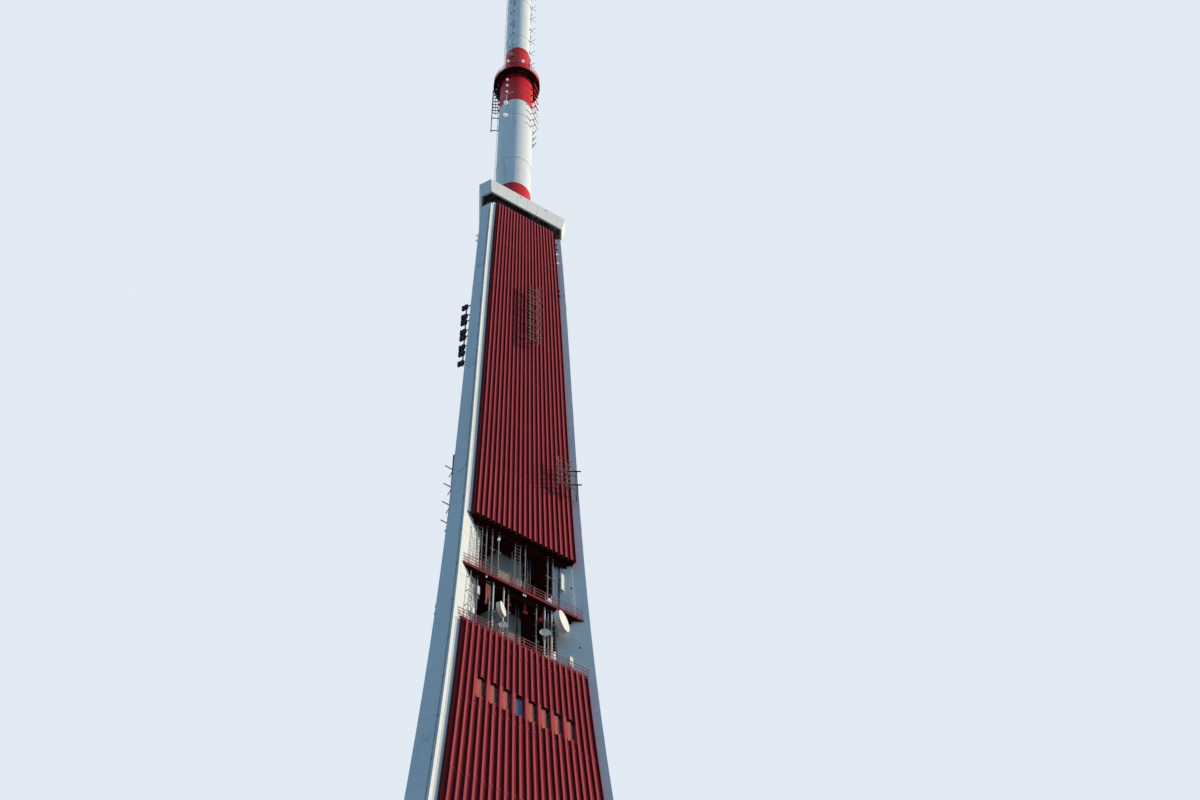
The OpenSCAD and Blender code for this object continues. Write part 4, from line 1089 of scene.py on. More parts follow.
def makeToeBoards():
    boards, sockets = shapes(2)
    for level, out in (("lowerTop", 0.018), ("gallery", 0.018), ("deckRoof", 0.014)):
        z0 = tower[level] + tower["floor"] - 0.001
        z1 = z0 + galleryParts["toeBoard"]
        half, radius = (bent(shape, tower[level] + tower["floor"]) for shape in (wallHalf, wallRadius))
        for k in range(3):
            place = spot(wallTurns[k], 0, -radius - out)
            boards.block(place, span(0, half - 0.012), (0.0028, 0.0043), (z0, z1))
            boards.block(place, span(0, half - 0.012), (0.0028, 0.0065), (z1 - 0.0015, z1))
            for i in range(-5, 6):
                x = i * half / 5.2
                sockets.turned(place(x, 0, z0), up, [(0.0065, 0), (0.0065, 0.003), (0.0042, 0.004),
                    (0.004, 0.011)], 12)
                for share in (1 / 3, 2 / 3, 1):
                    sockets.hoop(place(x, 0, z0 + 0.001 + tower["rail"] * share), wallSide[k], 0.0032, 0.0011, 12)
    makePieces(toeBoards=(boards, "redSteel"), railingSockets=(sockets, "redSteel"))


makeGalleryPipeFittings()
makeLadderCages()
makeCableTrays()
makeToeBoards()
print("gallery pipes, ladders, trays and toe boards made")

# Boxes, lamps and posts of the gallery, the same on each wall
galleryThings = {"hangers": [(-0.25, 15.0, 0.018), (-0.095, 15.005, 0.015), (0.047, 15.0, 0.018),
    (0.199, 14.985, 0.032)], "hangerBack": 0.04, "ledgeLamps": [-0.328, 0.001, 0.019, 0.3],
    "units": [("upper", 0.254, 0.1), ("lower", 0.262, 0.085)], "post": (-0.3, 14.878),
    "lowBoxes": [(0.033, 0.03), (-0.101, 0.02), (0.07, 0.018), (-0.02, 0.022)], "pipeLamp": (-0.198, 15.81)}


def makeGalleryThings():
    values = galleryThings
    hangers, lamps, glasses, units, posts, boxes = shapes(6)
    top, y = tower["gallery"] + 0.001, values["hangerBack"]
    for k, turn in enumerate(wallTurns):
        place = spot(turn, 0, -bent(wallRadius, tower["gallery"]))
        for x, z, size in values["hangers"]:
            for dx in (-0.006, 0.006):
                hangers.block(place, span(x + dx, 0.0015), span(y, 0.0015), (z, top))
            hangers.block(place, span(x, size), span(y, size * 0.6), span(z, size * 0.7))
            hangers.block(place, span(x, size * 1.08), span(y, size * 0.7), (z + size * 0.62, z + size * 0.8))
            hangers.turned(place(x, y - size * 0.6, z), wallOut[k], [(size * 0.45, 0), (size * 0.45, 0.003),
                (size * 0.3, 0.005), (0.0005, 0.0055)], 18)
        for x in values["ledgeLamps"]:
            z = tower["gallery"] - 0.004
            centre, aim = place(x, -0.012, z - 0.02), (wallOut[k] - 0.9 * up).normalized()
            lamps.block(place, span(x, 0.002), (-0.02, -0.012), (z - 0.016, z + 0.006))
            lamps.turned(centre, aim, [(0.003, -0.006), (0.006, -0.001), (0.007, 0.004), (0.0078, 0.005),
                (0.0078, 0.007)], 20)
            glasses.turned(centre + aim * 0.0065, aim, [(0.0073, 0), (0.006, 0.002), (0.0005, 0.003)], 20)
        for level, x, height in values["units"]:
            base = galleryLevels[level][0]
            inward = 0.05 - bent(wallRadius, base)
            finnedUnit(units, spot(turn, x, inward, base - 0.001), 0.062, 0.045, height, 8)
            finnedUnit(units, spot(turn, x - 0.075, inward + 0.01, base - 0.001), 0.05, 0.04, height * 0.75, 6)
        x, z = values["post"]
        posts.block(place, span(x, 0.004), (0.024, 0.034), (z, top))
        posts.block(place, span(x, 0.008), (0.02, 0.038), (z - 0.006, z))
        posts.block(place, (x + 0.012, x + 0.018), (0.026, 0.034), (z + 0.06, top))
        base = galleryLevels["lower"][0]
        for x, size in values["lowBoxes"]:
            low = spot(turn, x, 0.04 - bent(wallRadius, base), base - 0.001)
            boxes.block(low, (-0.004, 0.004), (-0.004, 0.004), (0, size * 1.6))
            for wide, deep, z0, z1 in ((0.8, 0.5, 1.5, 2.6), (0.9, 0.6, 2.6, 2.72)):
                boxes.block(low, span(0, size * wide), span(0, size * deep), (size * z0, size * z1))
        x, z = values["pipeLamp"]
        lamp = spot(turn, x, 0.026 - bent(wallRadius, tower["upperBottom"]), z)
        lamps.turned(lamp(0, 0, 0.121), -up, [(0.004, 0), (0.004, 0.06), (0.01, 0.064), (0.013, 0.09),
            (0.013, 0.1)], 20)
        glasses.turned(lamp(0, 0, 0.022), -up, [(0.012, 0), (0.011, 0.008), (0.006, 0.013), (0.0005, 0.0145)], 20)
    makePieces(hangingBoxes=(hangers, "redSteel", None, 0.0006), galleryLamps=(lamps, "galvanised"),
        galleryLampGlasses=(glasses, "lampWhite"), coolingUnits=(units, "stripedUnit", None, 0.0006),
        orangePosts=(posts, "blindOrange", None, 0.0005), pedestalBoxes=(boxes, "pinkSteel", None, 0.0005))


makeGalleryThings()

# Ladder and conduits on the left front pillar's inner side, and the same on the back pillar
sideLadder = {"from": 14.49, "to": 15.12, "step": 0.066, "rails": (-0.135, -0.2), "stand": 0.026, "bar": 0.0028,
    "conduits": (-0.11, -0.128, -0.15, -0.172), "conduitTop": 15.88}


def makeSideLadder():
    values = sideLadder
    irons, conduits = shapes(2)
    low, high, stand, bar = values["from"], values["to"], values["stand"], values["bar"]
    base = galleryLevels["upper"][0]
    for k, side in ((0, 1), (1, -1), (2, 1)):
        def point(x, out, z):
            return pillarPoint(k, x, side * (bent(pillarWidth, z) / 2 + out), z)

        if k != 1:
            for x in values["rails"]:
                irons.bar(point, [(x, stand, z) for z in (low - 0.03, (low + high) / 2, high + 0.03)], bar)
            for i in range(int((high - low) / values["step"]) + 1):
                z = low + i * values["step"]
                irons.bar(point, [(values["rails"][0] + 0.004, stand, z), (values["rails"][1] - 0.004, stand, z)],
                    0.0026)
                for x in values["rails"] if i % 3 == 0 else ():
                    irons.bar(point, [(x, -0.003, z), (x, stand, z)], bar)
                    irons.turned(point(x, -0.001, z), point(x, 1, z) - point(x, 0, z),
                        knob(0.008, 0.003, 0.003, 0.0035), 12)
        for j, x in enumerate(values["conduits"]):
            heights = [base + (values["conduitTop"] - 0.06 * j - base) * i / 6 for i in range(7)]
            conduits.bar(point, [(x, 0.004, z) for z in heights], 0.0018 + 0.0006 * (j % 2))
            for z in heights[1::2]:
                conduits.block(point, span(x, 0.006), (-0.002, 0.0065), span(z, 0.0025))
    makePieces(sideLadder=(irons, "greySteel"), sideConduits=(conduits, "paleSteel"))


makeSideLadder()
print("gallery equipment made")

# Dishes: rims, covers, clamps and stays. Each is found from its pole as in the model
dishes = [
    {"x": 0.276, "z": 14.974, "azimuth": -58, "arm": 0.04, "radius": 0.09, "bowl": 0.25, "shroud": 0.5},
    {"x": -0.244, "z": 14.785, "azimuth": -52, "arm": 0.038, "radius": 0.06, "bowl": 0.25, "shroud": 0.55},
    {"x": 0.213, "z": 14.776, "azimuth": -115, "arm": 0.04, "radius": 0.043, "bowl": 0.35},
    {"x": -0.152, "z": 14.616, "azimuth": -115, "arm": 0.042, "radius": 0.035, "bowl": 0.35}]
poleBack = 0.02


def makeDishParts():
    rims, clips, stays, feeds = shapes(4)
    for values in dishes:
        pole = Vector((values["x"], poleBack - bent(wallRadius, tower["gallery"]), values["z"]))
        ahead = around(values["azimuth"], 1, 0)
        across = up.cross(ahead)
        hub = pole + ahead * values["arm"]
        radius = values["radius"]
        bowl = radius * values["bowl"]
        if "shroud" in values:
            front = bowl + radius * values["shroud"]
            for along, bar in ((bowl, 0.0014), (front - 0.002, 0.002), (bowl + (front - bowl) * 0.5, 0.0009)):
                rims.hoop(hub + ahead * along, ahead, radius + 0.0004, bar, 64, 8)
            for out in spokes(across, up, 24):
                edge = hub + ahead * (front - 0.004) + out * (radius + 0.001)
                clips.join(edge - ahead * 0.005, edge + ahead * 0.0045, 0.0035, 0.0022, out)
                clips.bolt(edge - ahead * 0.002 + out * 0.001, out, 0.0013, 0.0014)
            for out in spokes(across, up, 8, 22.5):
                rims.join(hub + out * radius * 0.28 + ahead * bowl * 0.03, hub + out * radius * 0.99
                    + ahead * bowl * 0.9, 0.0016, 0.004, out.cross(ahead))
        else:
            rims.hoop(hub + ahead * (bowl + 0.0002), ahead, radius - 0.0008, 0.0013, 48, 8)
            for out in spokes(across, up, 3, 30):
                feeds.path([hub + out * radius * 0.93 + ahead * bowl * 0.95, hub + ahead * radius * 0.86], 0.001)
            feeds.turned(hub + ahead * radius * 0.78, ahead, [(0.0025, 0), (0.0062, 0.003), (0.0062, 0.011),
                (0.0045, 0.013), (0.0005, 0.0135)], 20)
        # clamps round the pole, hub plate and two stays
        for lift in (-0.016, 0.016):
            centre = pole + up * lift
            stays.hoop(centre, up, 0.0076, 0.0013, 18)
            stays.block(lambda a, b, c: centre + across * a + ahead * b + up * c, (-0.01, 0.01), (0.006, 0.01),
                (-0.004, 0.004))
        stays.turned(hub - ahead * 0.006, ahead, neck(radius * 0.22, 0.003, radius * 0.13, 0.0035, 0.007), 24)
        for side in (-1, 1):
            foot = pole - up * 0.05 + across * side * 0.006
            stays.path([foot, hub + across * side * radius * 0.55 - up * radius * 0.45 + ahead * bowl * 0.45],
                0.0016)
            stays.hoop(foot, up, 0.006, 0.0011, 14)
    makePieces(dishRims=(rims, "aerialCream"), dishClips=(clips, "galvanised"), dishStays=(stays, "galvanised"),
        dishFeeds=(feeds, "aerialCream"))


makeDishParts()
print("dish parts made")

# Panel aerials: pillar, height, length, side of the pillar and distance in front of its inner face
panelParts = {"facing": -75, "stand": 0.028, "size": (0.01, 0.032), "places": [(1, 15.557, 0.208, -1, 0.07),
    (1, 14.56, 0.111, -1, 0.093), (0, 14.977, 0.095, 1, 0.02)]}


def makePanelParts():
    values = panelParts
    caps, clamps = shapes(2)
    turn = rotation(values["facing"])
    thick, wide = (size / 2 for size in values["size"])
    for k, z, height, side, inward in values["places"]:
        edge = bent(pillarWidth, z) / 2 + values["stand"]
        foot = pillarPoint(k, inward - bent(pillarDepth, z), side * edge, z)

        def place(a, b, c):
            return foot + turn @ Vector((a, b, c))

        for low, high in ((-0.003, 0.004), (height - 0.004, height + 0.003)):
            caps.block(place, span(0, thick + 0.001), span(0, wide + 0.001), (low, high))
        for y in (-wide, wide):
            caps.block(place, (thick - 0.0015, thick + 0.0008), span(y, 0.0009), (0.004, height - 0.004))
        for share in (0.25, 0.75):
            clamps.block(place, (-thick - 0.012, 0.001 - thick), (-0.005, 0.005), span(height * share, 0.004))
            clamps.block(place, span(-thick - 0.012, 0.002), (-0.011, 0.011), span(height * share, 0.005))
        clamps.bar(place, [(-thick - 0.012, 0, height * share) for share in (0.06, 0.94)], 0.0034, 10)
        for y in (-0.006, 0.006):
            clamps.turned(place(0, y, 0.001), -up, neck(0.0028, 0.006, 0.002, 0.007, 0.013), 12)
    makePieces(panelCaps=(caps, "aerialCream"), panelClamps=(clamps, "galvanised"))


makePanelParts()

# Aerials on the front wall: clamps where bars cross, insulators, rods and feeders
wallAerials = {"front": 0.124, "boomReach": 0.045, "rows": 8, "height": 1.13, "base": 0.534, "right": 2.2,
    "rods": (-0.042, 0.62), "cross": (-0.034, 0.034), "feeder": 0.0018, "edgeBase": 0.147, "edgeShare": 6.2,
    "edgeHeight": 0.5, "edgeWidth": 0.084, "edgeRows": 7}


def makeWallAerialParts():
    values = wallAerials
    clamps, feeders = shapes(2)
    clad = tower["upperTop"] - tower["upperBottom"]
    front, reach, step = values["front"], values["boomReach"], values["height"] / values["rows"]
    z0 = tower["upperBottom"] + values["base"] * clad
    z1 = z0 + values["height"]
    pitch = ribShares(tower["upperRibs"])[0]
    right = values["right"] * pitch * bent(wallHalf, z1)

    def point(x, out, z):
        return wallPoint(0, x, out, z)

    def feeder(line, radius=values["feeder"], sides=7):
        feeders.bar(point, line, radius, sides)

    def crossing(x, z, tall, bolt):
        clamps.block(point, span(x, 0.006), (front - 0.0085, front + 0.0025), span(z, tall))
        clamps.bolt(point(x, front + 0.0025, z), wallOut[0], bolt, 0.002)

    for i in range(values["rows"]):
        z = z0 + (i + 0.5) * step
        for x in (0, right):
            crossing(x, z, 0.006, 0.0024)
        for out in (front - reach, front + reach):
            clamps.block(point, span(right, 0.004), span(out, 0.004), span(z, 0.0045))
    for i in range(4):
        for x in (0, right):
            clamps.turned(point(x, tower["cladding"] + tower["rib"] - 0.001, z0 + (2 * i + 1) * step), wallOut[0],
                [(0.01, 0), (0.01, 0.003), (0.006, 0.004), (0.0055, 0.01)], 16)
    for x in (0.004, right + 0.004):
        feeder([(x, front - 0.008, z0 + 0.01 + (z1 - z0 - 0.02) * j / 12) for j in range(13)])
    feeder([(right * j / 6, front - 0.009 - 0.0005 * j, z0 + 0.012) for j in range(7)])
    feeder([(0.004, front - 0.009, z0 + 0.012), (0.004, 0.06, z0), (0.004, 0.045, z0 - 0.03)])
    for i in range(2 * values["rows"]):
        z = z0 + (i + 0.5) * step / 2
        feeder([(x, front - 0.002, z) for x in (values["rods"][0], right * values["rods"][1])], 0.003, 6)
        feeder([(x, front - 0.012, z + 0.012) for x in values["cross"]], 0.003, 6)
    height, wide, rows = values["edgeHeight"], values["edgeWidth"], values["edgeRows"]
    base = tower["upperBottom"] + values["edgeBase"] * clad
    x0 = values["edgeShare"] * pitch * bent(wallHalf, base + height)
    for i in range(1, rows):
        z = base + height * i / rows
        for x in (x0, x0 + wide):
            crossing(x, z, 0.0055, 0.0022)
            for out in (front - reach, front + reach - 0.003):
                clamps.block(point, span(x, 0.004), span(out, 0.004), span(z, 0.004))
    for i in range(3):
        low = base + (2 - i) * height / 2 / rows
        feeder([(x0 + wide * i + 0.004, front - 0.008, low + 0.42 * j / 6) for j in range(7)], 0.0016)
    makePieces(aerialClamps=(clamps, "galvanised"), aerialFeeders=(feeders, "cableBlack"))


makeWallAerialParts()

pairedPanels = {"base": 18.638, "step": 0.288, "gap": 0.176, "count": 4, "poleOut": 0.07, "inset": 0.06}
sideForks = {"top": 16.685, "spread": 0.8, "count": 4, "inset": 0.02, "prong": 0.078, "turns": (-29, -123)}


def makePillarAerialParts():
    values = pairedPanels
    reflectors, clamps, feeders = shapes(3)
    turn, base = pillarTurns[0], values["base"]
    x = bent(faceRadius, base + values["step"] * 2) - values["inset"]

    def beside(z, x, inward=0.0):
        # outwards from the pole's line, beyond the pillar's edge, and up
        edge = -bent(pillarWidth, z) / 2 - inward
        return lambda a, b, c: turn @ Vector((x + a, edge - b, z + c))

    for i in range(values["count"]):
        for gap in (0, values["gap"]):
            place = beside(base + i * values["step"] + gap, x)
            # wire reflector on the panel's back and bent rods on its front
            for j in range(6):
                reflectors.block(place, (0.0108, 0.0135), span(0.064 + j * 0.0112, 0.0014), (-0.037, 0.037))
            for lift in (-0.034, 0, 0.034):
                reflectors.block(place, (0.0108, 0.0145), (0.06, 0.124), span(lift, 0.0014))
            for b in (0.076, 0.108):
                for way in (1, -1):
                    reflectors.bar(place, [(0.011, b, 0), (0.022, b, 0), (0.024, b, 0.004 * way),
                        (0.024, b, 0.024 * way)], 0.0017)
            for b, size in ((0.0, 0.01), (0.074, 0.008)):
                clamps.block(place, (-0.003, 0.011), (b - 0.002, b + size * 0.7), span(0, size))

    def feeder(line):
        feeders.path([beside(z, x)(a, b, 0) for a, b, z in line], 0.0016, 7)

    for off in (0.0, 0.003):
        feeder([(-0.003 - off, values["poleOut"] + 0.004, base - 0.05 + 1.13 * j / 10) for j in range(11)])
    feeder([(-0.004, b, base - 0.052) for b in (0.074, 0.05, 0.02, -0.002)])
    values = sideForks
    x = bent(faceRadius, values["top"]) - values["inset"]
    for i in range(values["count"]):
        place = beside(values["top"] - i * values["spread"] / (values["count"] - 1), x)
        centre = place(-0.014, 0.02, 0)
        clamps.turned(centre - up * 0.008, up, [(0.007, 0), (0.009, 0.002), (0.009, 0.014), (0.007, 0.016)], 16)
        for azimuth in values["turns"]:
            way = turn @ around(azimuth, 1, 0)
            clamps.turned(centre + way * (values["prong"] - 0.003), way, knob(0.0042, 0.004, 0.0015, 0.006), 12)
            clamps.turned(centre + way * values["prong"] * 0.35, way, [(0.0048, 0), (0.0048, 0.007)], 12)
        clamps.block(place, (-0.026, 0.002), (-0.002, 0.003), (-0.012, 0.012))
    makePieces(panelReflectors=(reflectors, "darkSteel"), pillarAerialClamps=(clamps, "darkSteel"),
        pillarAerialFeeders=(feeders, "cableBlack"))


makePillarAerialParts()
print("body aerial parts made")

# Mast: tubes (foot, top, radius), flanges with bolts, ladders, feeders and what hangs on the tubes
mastTubes = [(22.2, 25.74, 0.188), (25.74, 30.5, 0.14), (30.5, 33.8, 0.098), (33.8, 35.7, 0.058)]
mastParts = {"flangeStep": 1.18, "flange": 0.006, "flangeProud": 0.003, "bolts": 30, "stiffeners": 16,
    "ladderAzimuth": 120, "stand": 0.02, "rungStep": 0.06, "cage": (0.03, 0.022),
    "runs": [(22.24, 25.72), (25.77, 30.49), (30.52, 33.79), (33.82, 35.69)], "caged": 2,
    "footLadders": [(-146, 22.85, 23.35), (-106, 22.95, 23.3)], "footStand": 0.012}
mastTop, wideTube = mastTubes[0][1:]


def onMast(azimuth, radius=wideTube, z=0.0):
    # outwards from a tube's surface, across it, and up
    return spot(rotation(azimuth), radius, 0, z)


def makeMastFlanges():
    values = mastParts
    flanges, bolts = shapes(2)
    h, p = values["flange"], values["flangeProud"]
    for low, high, radius in mastTubes:
        count = max(1, round((high - low) / values["flangeStep"]))
        for i in range(1, count):
            z = low + 0.12 + (high - low - 0.12) * i / count
            flanges.turned((0, 0, z - h), up, [(radius - 0.001, 0), (radius + p, 0), (radius + p, h * 0.9),
                (radius + p * 0.8, h * 0.94), (radius + p * 0.8, h * 1.06), (radius + p, h * 1.1),
                (radius + p, h * 2), (radius - 0.001, h * 2)], 96, closed=True)
            n = int(values["bolts"] * radius / wideTube)
            for j in range(n):
                for end, way in ((z - h, -up), (z + h, up)):
                    flanges.bolt(around(360 * j / n, radius + p * 0.45, end), way, 0.0013, 0.0018)
    # stiffeners between the lower tube's foot and the roof
    line = [(-0.002, 22.199), (0.045, 22.199), (0.045, 22.21), (0.006, 22.3), (-0.002, 22.3)]
    for j in range(values["stiffeners"]):
        flanges.plate(onMast(360 * j / values["stiffeners"]), line)
    flanges.band(22.199, 0.186, 0.245, 0.01)
    for j in range(32):
        bolts.bolt(around(360 * (j + 0.5) / 32, 0.222, 22.209), up, 0.005, 0.006)
    makePieces(mastFlanges=(flanges, "mastTrim"), mastBolts=(bolts, "galvanised"))


def ladderUp(shape, azimuth, z0, z1, radius, width=0.036, stand=mastParts["stand"], cage=False):
    place, w = onMast(azimuth, radius), width / 2
    reach, wide = mastParts["cage"]

    def cagePoint(angle, z):
        turn = math.radians(angle)
        return place(stand + reach * math.cos(turn), wide * math.sin(turn), z)

    for y in (-w, w):
        shape.bar(place, [(stand, y, z0), (stand, y, z1)], 0.0022)
    n = int((z1 - z0) / mastParts["rungStep"])
    for i in range(n):
        z = z0 + (i + 0.5) * (z1 - z0) / n
        shape.bar(place, [(stand, -w, z), (stand, w, z)], 0.0015, 6)
        for y in (-w, w) if i % 5 == 2 else ():
            shape.bar(place, [(-0.002, y, z), (stand, y, z)], 0.0016, 6)
        if cage and i % 3 == 1:
            shape.path([cagePoint(-90 + 18 * j, z) for j in range(11)], 0.0012, 6)
    for angle in (-60, 0, 60) if cage else ():
        shape.path([cagePoint(angle, z) for z in (z0 + 0.05, z1 - 0.05)], 0.001, 6)


def makeMastLadders():
    values = mastParts
    long, short = shapes(2)
    for i, (z0, z1) in enumerate(values["runs"]):
        ladderUp(long, values["ladderAzimuth"], z0, z1, mastTubes[i][2], cage=i < values["caged"])
    makePiece(long, "mastLadder", "mastPaint")
    for azimuth, z0, z1 in values["footLadders"]:
        ladderUp(short, azimuth, z0, z1, wideTube, 0.03, values["footStand"])
    makePiece(short, "mastSteps", "mastPaint", "mast_white")


makeMastFlanges()
makeMastLadders()
print("mast flanges and ladders made")

# Feeders up the mast, the forks' insulators and brackets, and the boxes between them
forkParts = {"azimuths": [-29, -149, 91], "levels": 12, "pitch": 0.365, "first": 26.425, "prong": 0.066,
    "brackets": [(-14, 0.024), (5, 0.016)], "feeders": (-3.0, 0.0, 3.0), "feederFoot": 0.65, "saddleStep": 0.3,
    "tubeFeeders": [(22.22, 25.73, 0.188), (30.52, 33.78, 0.098), (33.82, 35.66, 0.058)],
    "feederAzimuths": (60, 66)}


def discs(radius, proud, pitch, count, end):
    # profile of an insulator with rounded discs
    return [(proud if i % 2 else radius, i * pitch) for i in range(count)] + [(end, count * pitch)]


def makeForkParts():
    values = forkParts
    insulators, boxes, cables = shapes(3)
    radius, pitch = mastTubes[1][2], values["pitch"]
    for azimuth in values["azimuths"]:
        out = around(azimuth, 1, 0)
        for i in range(values["levels"]):
            z = values["first"] + i * pitch
            insulators.turned(around(azimuth, radius, z), out, neck(0.012, 0.002, 0.0088, 0.003, 0.005), 16)
            for way in (around(azimuth - 30, 1, 0), around(azimuth + 30, 1, 0)):
                start = around(azimuth, radius + 0.006, z)
                insulators.turned(start + way * 0.014, way, discs(0.0048, 0.0062, 0.001, 8, 0.0045), 12)
                insulators.turned(start + way * (values["prong"] - 0.002), way, knob(0.0042, 0.003, 0.002, 0.0045),
                    10)
            middle = z + pitch / 2
            if i % 2 == 0:
                boxes.block(onMast(azimuth + 6, radius, middle), (-0.001, 0.013), (-0.012, 0.012), (-0.022, 0.022))
            for b, half in values["brackets"]:
                cables.block(onMast(azimuth + b, radius, z - 0.055), (-0.001, 0.009), (-0.01, 0.01), (-half, half))
            if i % 2 == 0:
                boxes.block(onMast(azimuth + 6, radius, middle), (0.012, 0.0145), (-0.013, 0.013), (-0.023, 0.023))
                for way in (-1, 1):
                    cables.path([around(azimuth + b, radius + a, middle + way * c) for a, b, c in (
                        (0.006, 6, 0.0198), (0.008, 5, 0.0396), (0.006, 2, pitch / 2 - 0.03),
                        (0.008, 0, pitch / 2 - 0.004))], 0.0016, 7)
        low, high = values["first"] - values["feederFoot"], values["first"] + 11 * pitch
        for j, offset in enumerate(values["feeders"]):
            cables.path([around(azimuth + offset, radius + 0.001, low + (high - 0.5 * j - low) * n / 24)
                for n in range(25)], 0.0022)
        z = low + 0.15
        while z < high - 1.0:
            boxes.block(onMast(azimuth, radius, z), (-0.001, 0.0045), (-0.012, 0.012), (-0.002, 0.002))
            z += values["saddleStep"]
    for azimuth in values["feederAzimuths"]:
        for z0, z1, r in values["tubeFeeders"]:
            for j in range(4):
                cables.path([around(azimuth + j * 0.9 * wideTube / r, r + 0.0028, z0 + (z1 - z0) * n / 12)
                    for n in range(13)], 0.0024)
    makePieces(forkInsulators=(insulators, "signalWhite"), mastBoxes=(boxes, "greySteel", None, 0.0005),
        mastFeeders=(cables, "mastPaint", "mast_white"))


makeForkParts()

# Gallery on the lower tube: grating, brackets under it, toe ring, lamps and the bar over the big lamps
mastGallery = {"deck": 0.015, "rings": (0.2205, 0.2285, 0.2365, 0.2445, 0.2515), "bars": 96, "brackets": 16,
    "lamps": [(-161, 26.24), (-96, 26.19), (20, 26.22)], "barAzimuth": -150, "barTop": 25.1, "barHalf": 0.078}


def makeMastGallery():
    values = mastGallery
    grating, brackets, lamps, glasses, plates = shapes(5)
    z = mastTop
    mid = z + values["deck"] / 2
    for r in values["rings"]:
        grating.hoop((0, 0, mid), up, r, 0.0018, 96, 4)
    for i in range(values["bars"]):
        grating.loft([[around(360 * i / values["bars"], r, mid + dz, side) for side, dz in ((-0.001, -0.0035),
            (0.001, -0.0035), (0.001, 0.0035), (-0.001, 0.0035))] for r in (0.21, 0.2575)])
    plates.band(mid - 0.0012, 0.213, 0.2575, 0.0022)
    grating.band(z + values["deck"] - 0.001, 0.2655, 0.2675, 0.018)
    for i in range(values["brackets"]):
        place = spot(rotation(360 * (i + 0.5) / values["brackets"]), 0, 0, z)
        brackets.plate(place, [(0.186, -0.001), (0.265, -0.001), (0.265, -0.01), (0.186, -0.085)], 0.0025)
        brackets.loft([[place(r, y, low - drop) for y, drop in ((-0.007, 0), (0.007, 0), (0.007, 0.003),
            (-0.007, 0.003))] for r, low in ((0.187, -0.084), (0.266, -0.0085))])
    brackets.turned((0, 0, z - 0.1), up, [(0.187, 0), (0.191, 0.001), (0.191, 0.017), (0.187, 0.018)], 96,
        closed=True)
    for azimuth, level in values["lamps"]:
        out = around(azimuth, 1, 0)
        lamps.turned(around(azimuth, 0.139, level), out, [(0.012, 0), (0.012, 0.003), (0.006, 0.004), (0.006, 0.01),
            (0.016, 0.014), (0.0165, 0.018)], 24)
        glasses.turned(around(azimuth, 0.1565, level), out, [(0.016, 0), (0.0172, 0.006), (0.015, 0.014),
            (0.009, 0.019), (0.0005, 0.0205)], 28)
    place = onMast(values["barAzimuth"], 0.214, values["barTop"])
    for level in (-0.13, -0.05):
        lamps.bar(place, [(-0.028, 0, level), (0, 0, level)], 0.003)
    lamps.bar(place, [(0, 0, -0.18), (0, 0, 0)], 0.0032, 10)
    lamps.bar(place, [(0, -values["barHalf"], 0), (0, values["barHalf"], 0)], 0.0036, 10)
    for way in (-1, 1):
        lamps.turned(place(0, way * values["barHalf"], 0), around(values["barAzimuth"], 0, 0, way),
            [(0.0046, -0.004), (0.0046, 0.002), (0.002, 0.004)], 12)
    # painted shade: the gallery's plate band and brackets take the nearly black red
    makePieces(mastGrating=(grating, "mastPaint"), mastGalleryPlates=(plates, "redShade", "mast_red"),
        mastGalleryBrackets=(brackets, "redShade", "mast_red"), mastLampStems=(lamps, "signalWhite"),
        mastLampGlasses=(glasses, "lampWhite"))


makeMastGallery()

# Ring dipoles, side dipoles (azimuth, count, arm, length) and lamps, by their depth below the gallery
ringDipoles = {"azimuth": 151, "collars": (-1.22, -0.88, -0.67, -0.5, -0.33, -0.16), "ringed": 2}
sideDipoles = {"rows": [(-53, 7, 0.058, 0.118), (7, 3, 0.074, 0.081)], "lowest": -1.24, "step": 0.17}
mastLamps = {"azimuth": -150, "places": [(-1.21, 0.024), (-0.87, 0.024), (-0.535, 0.0144), (-0.355, 0.0144),
    (-0.19, 0.0144)]}


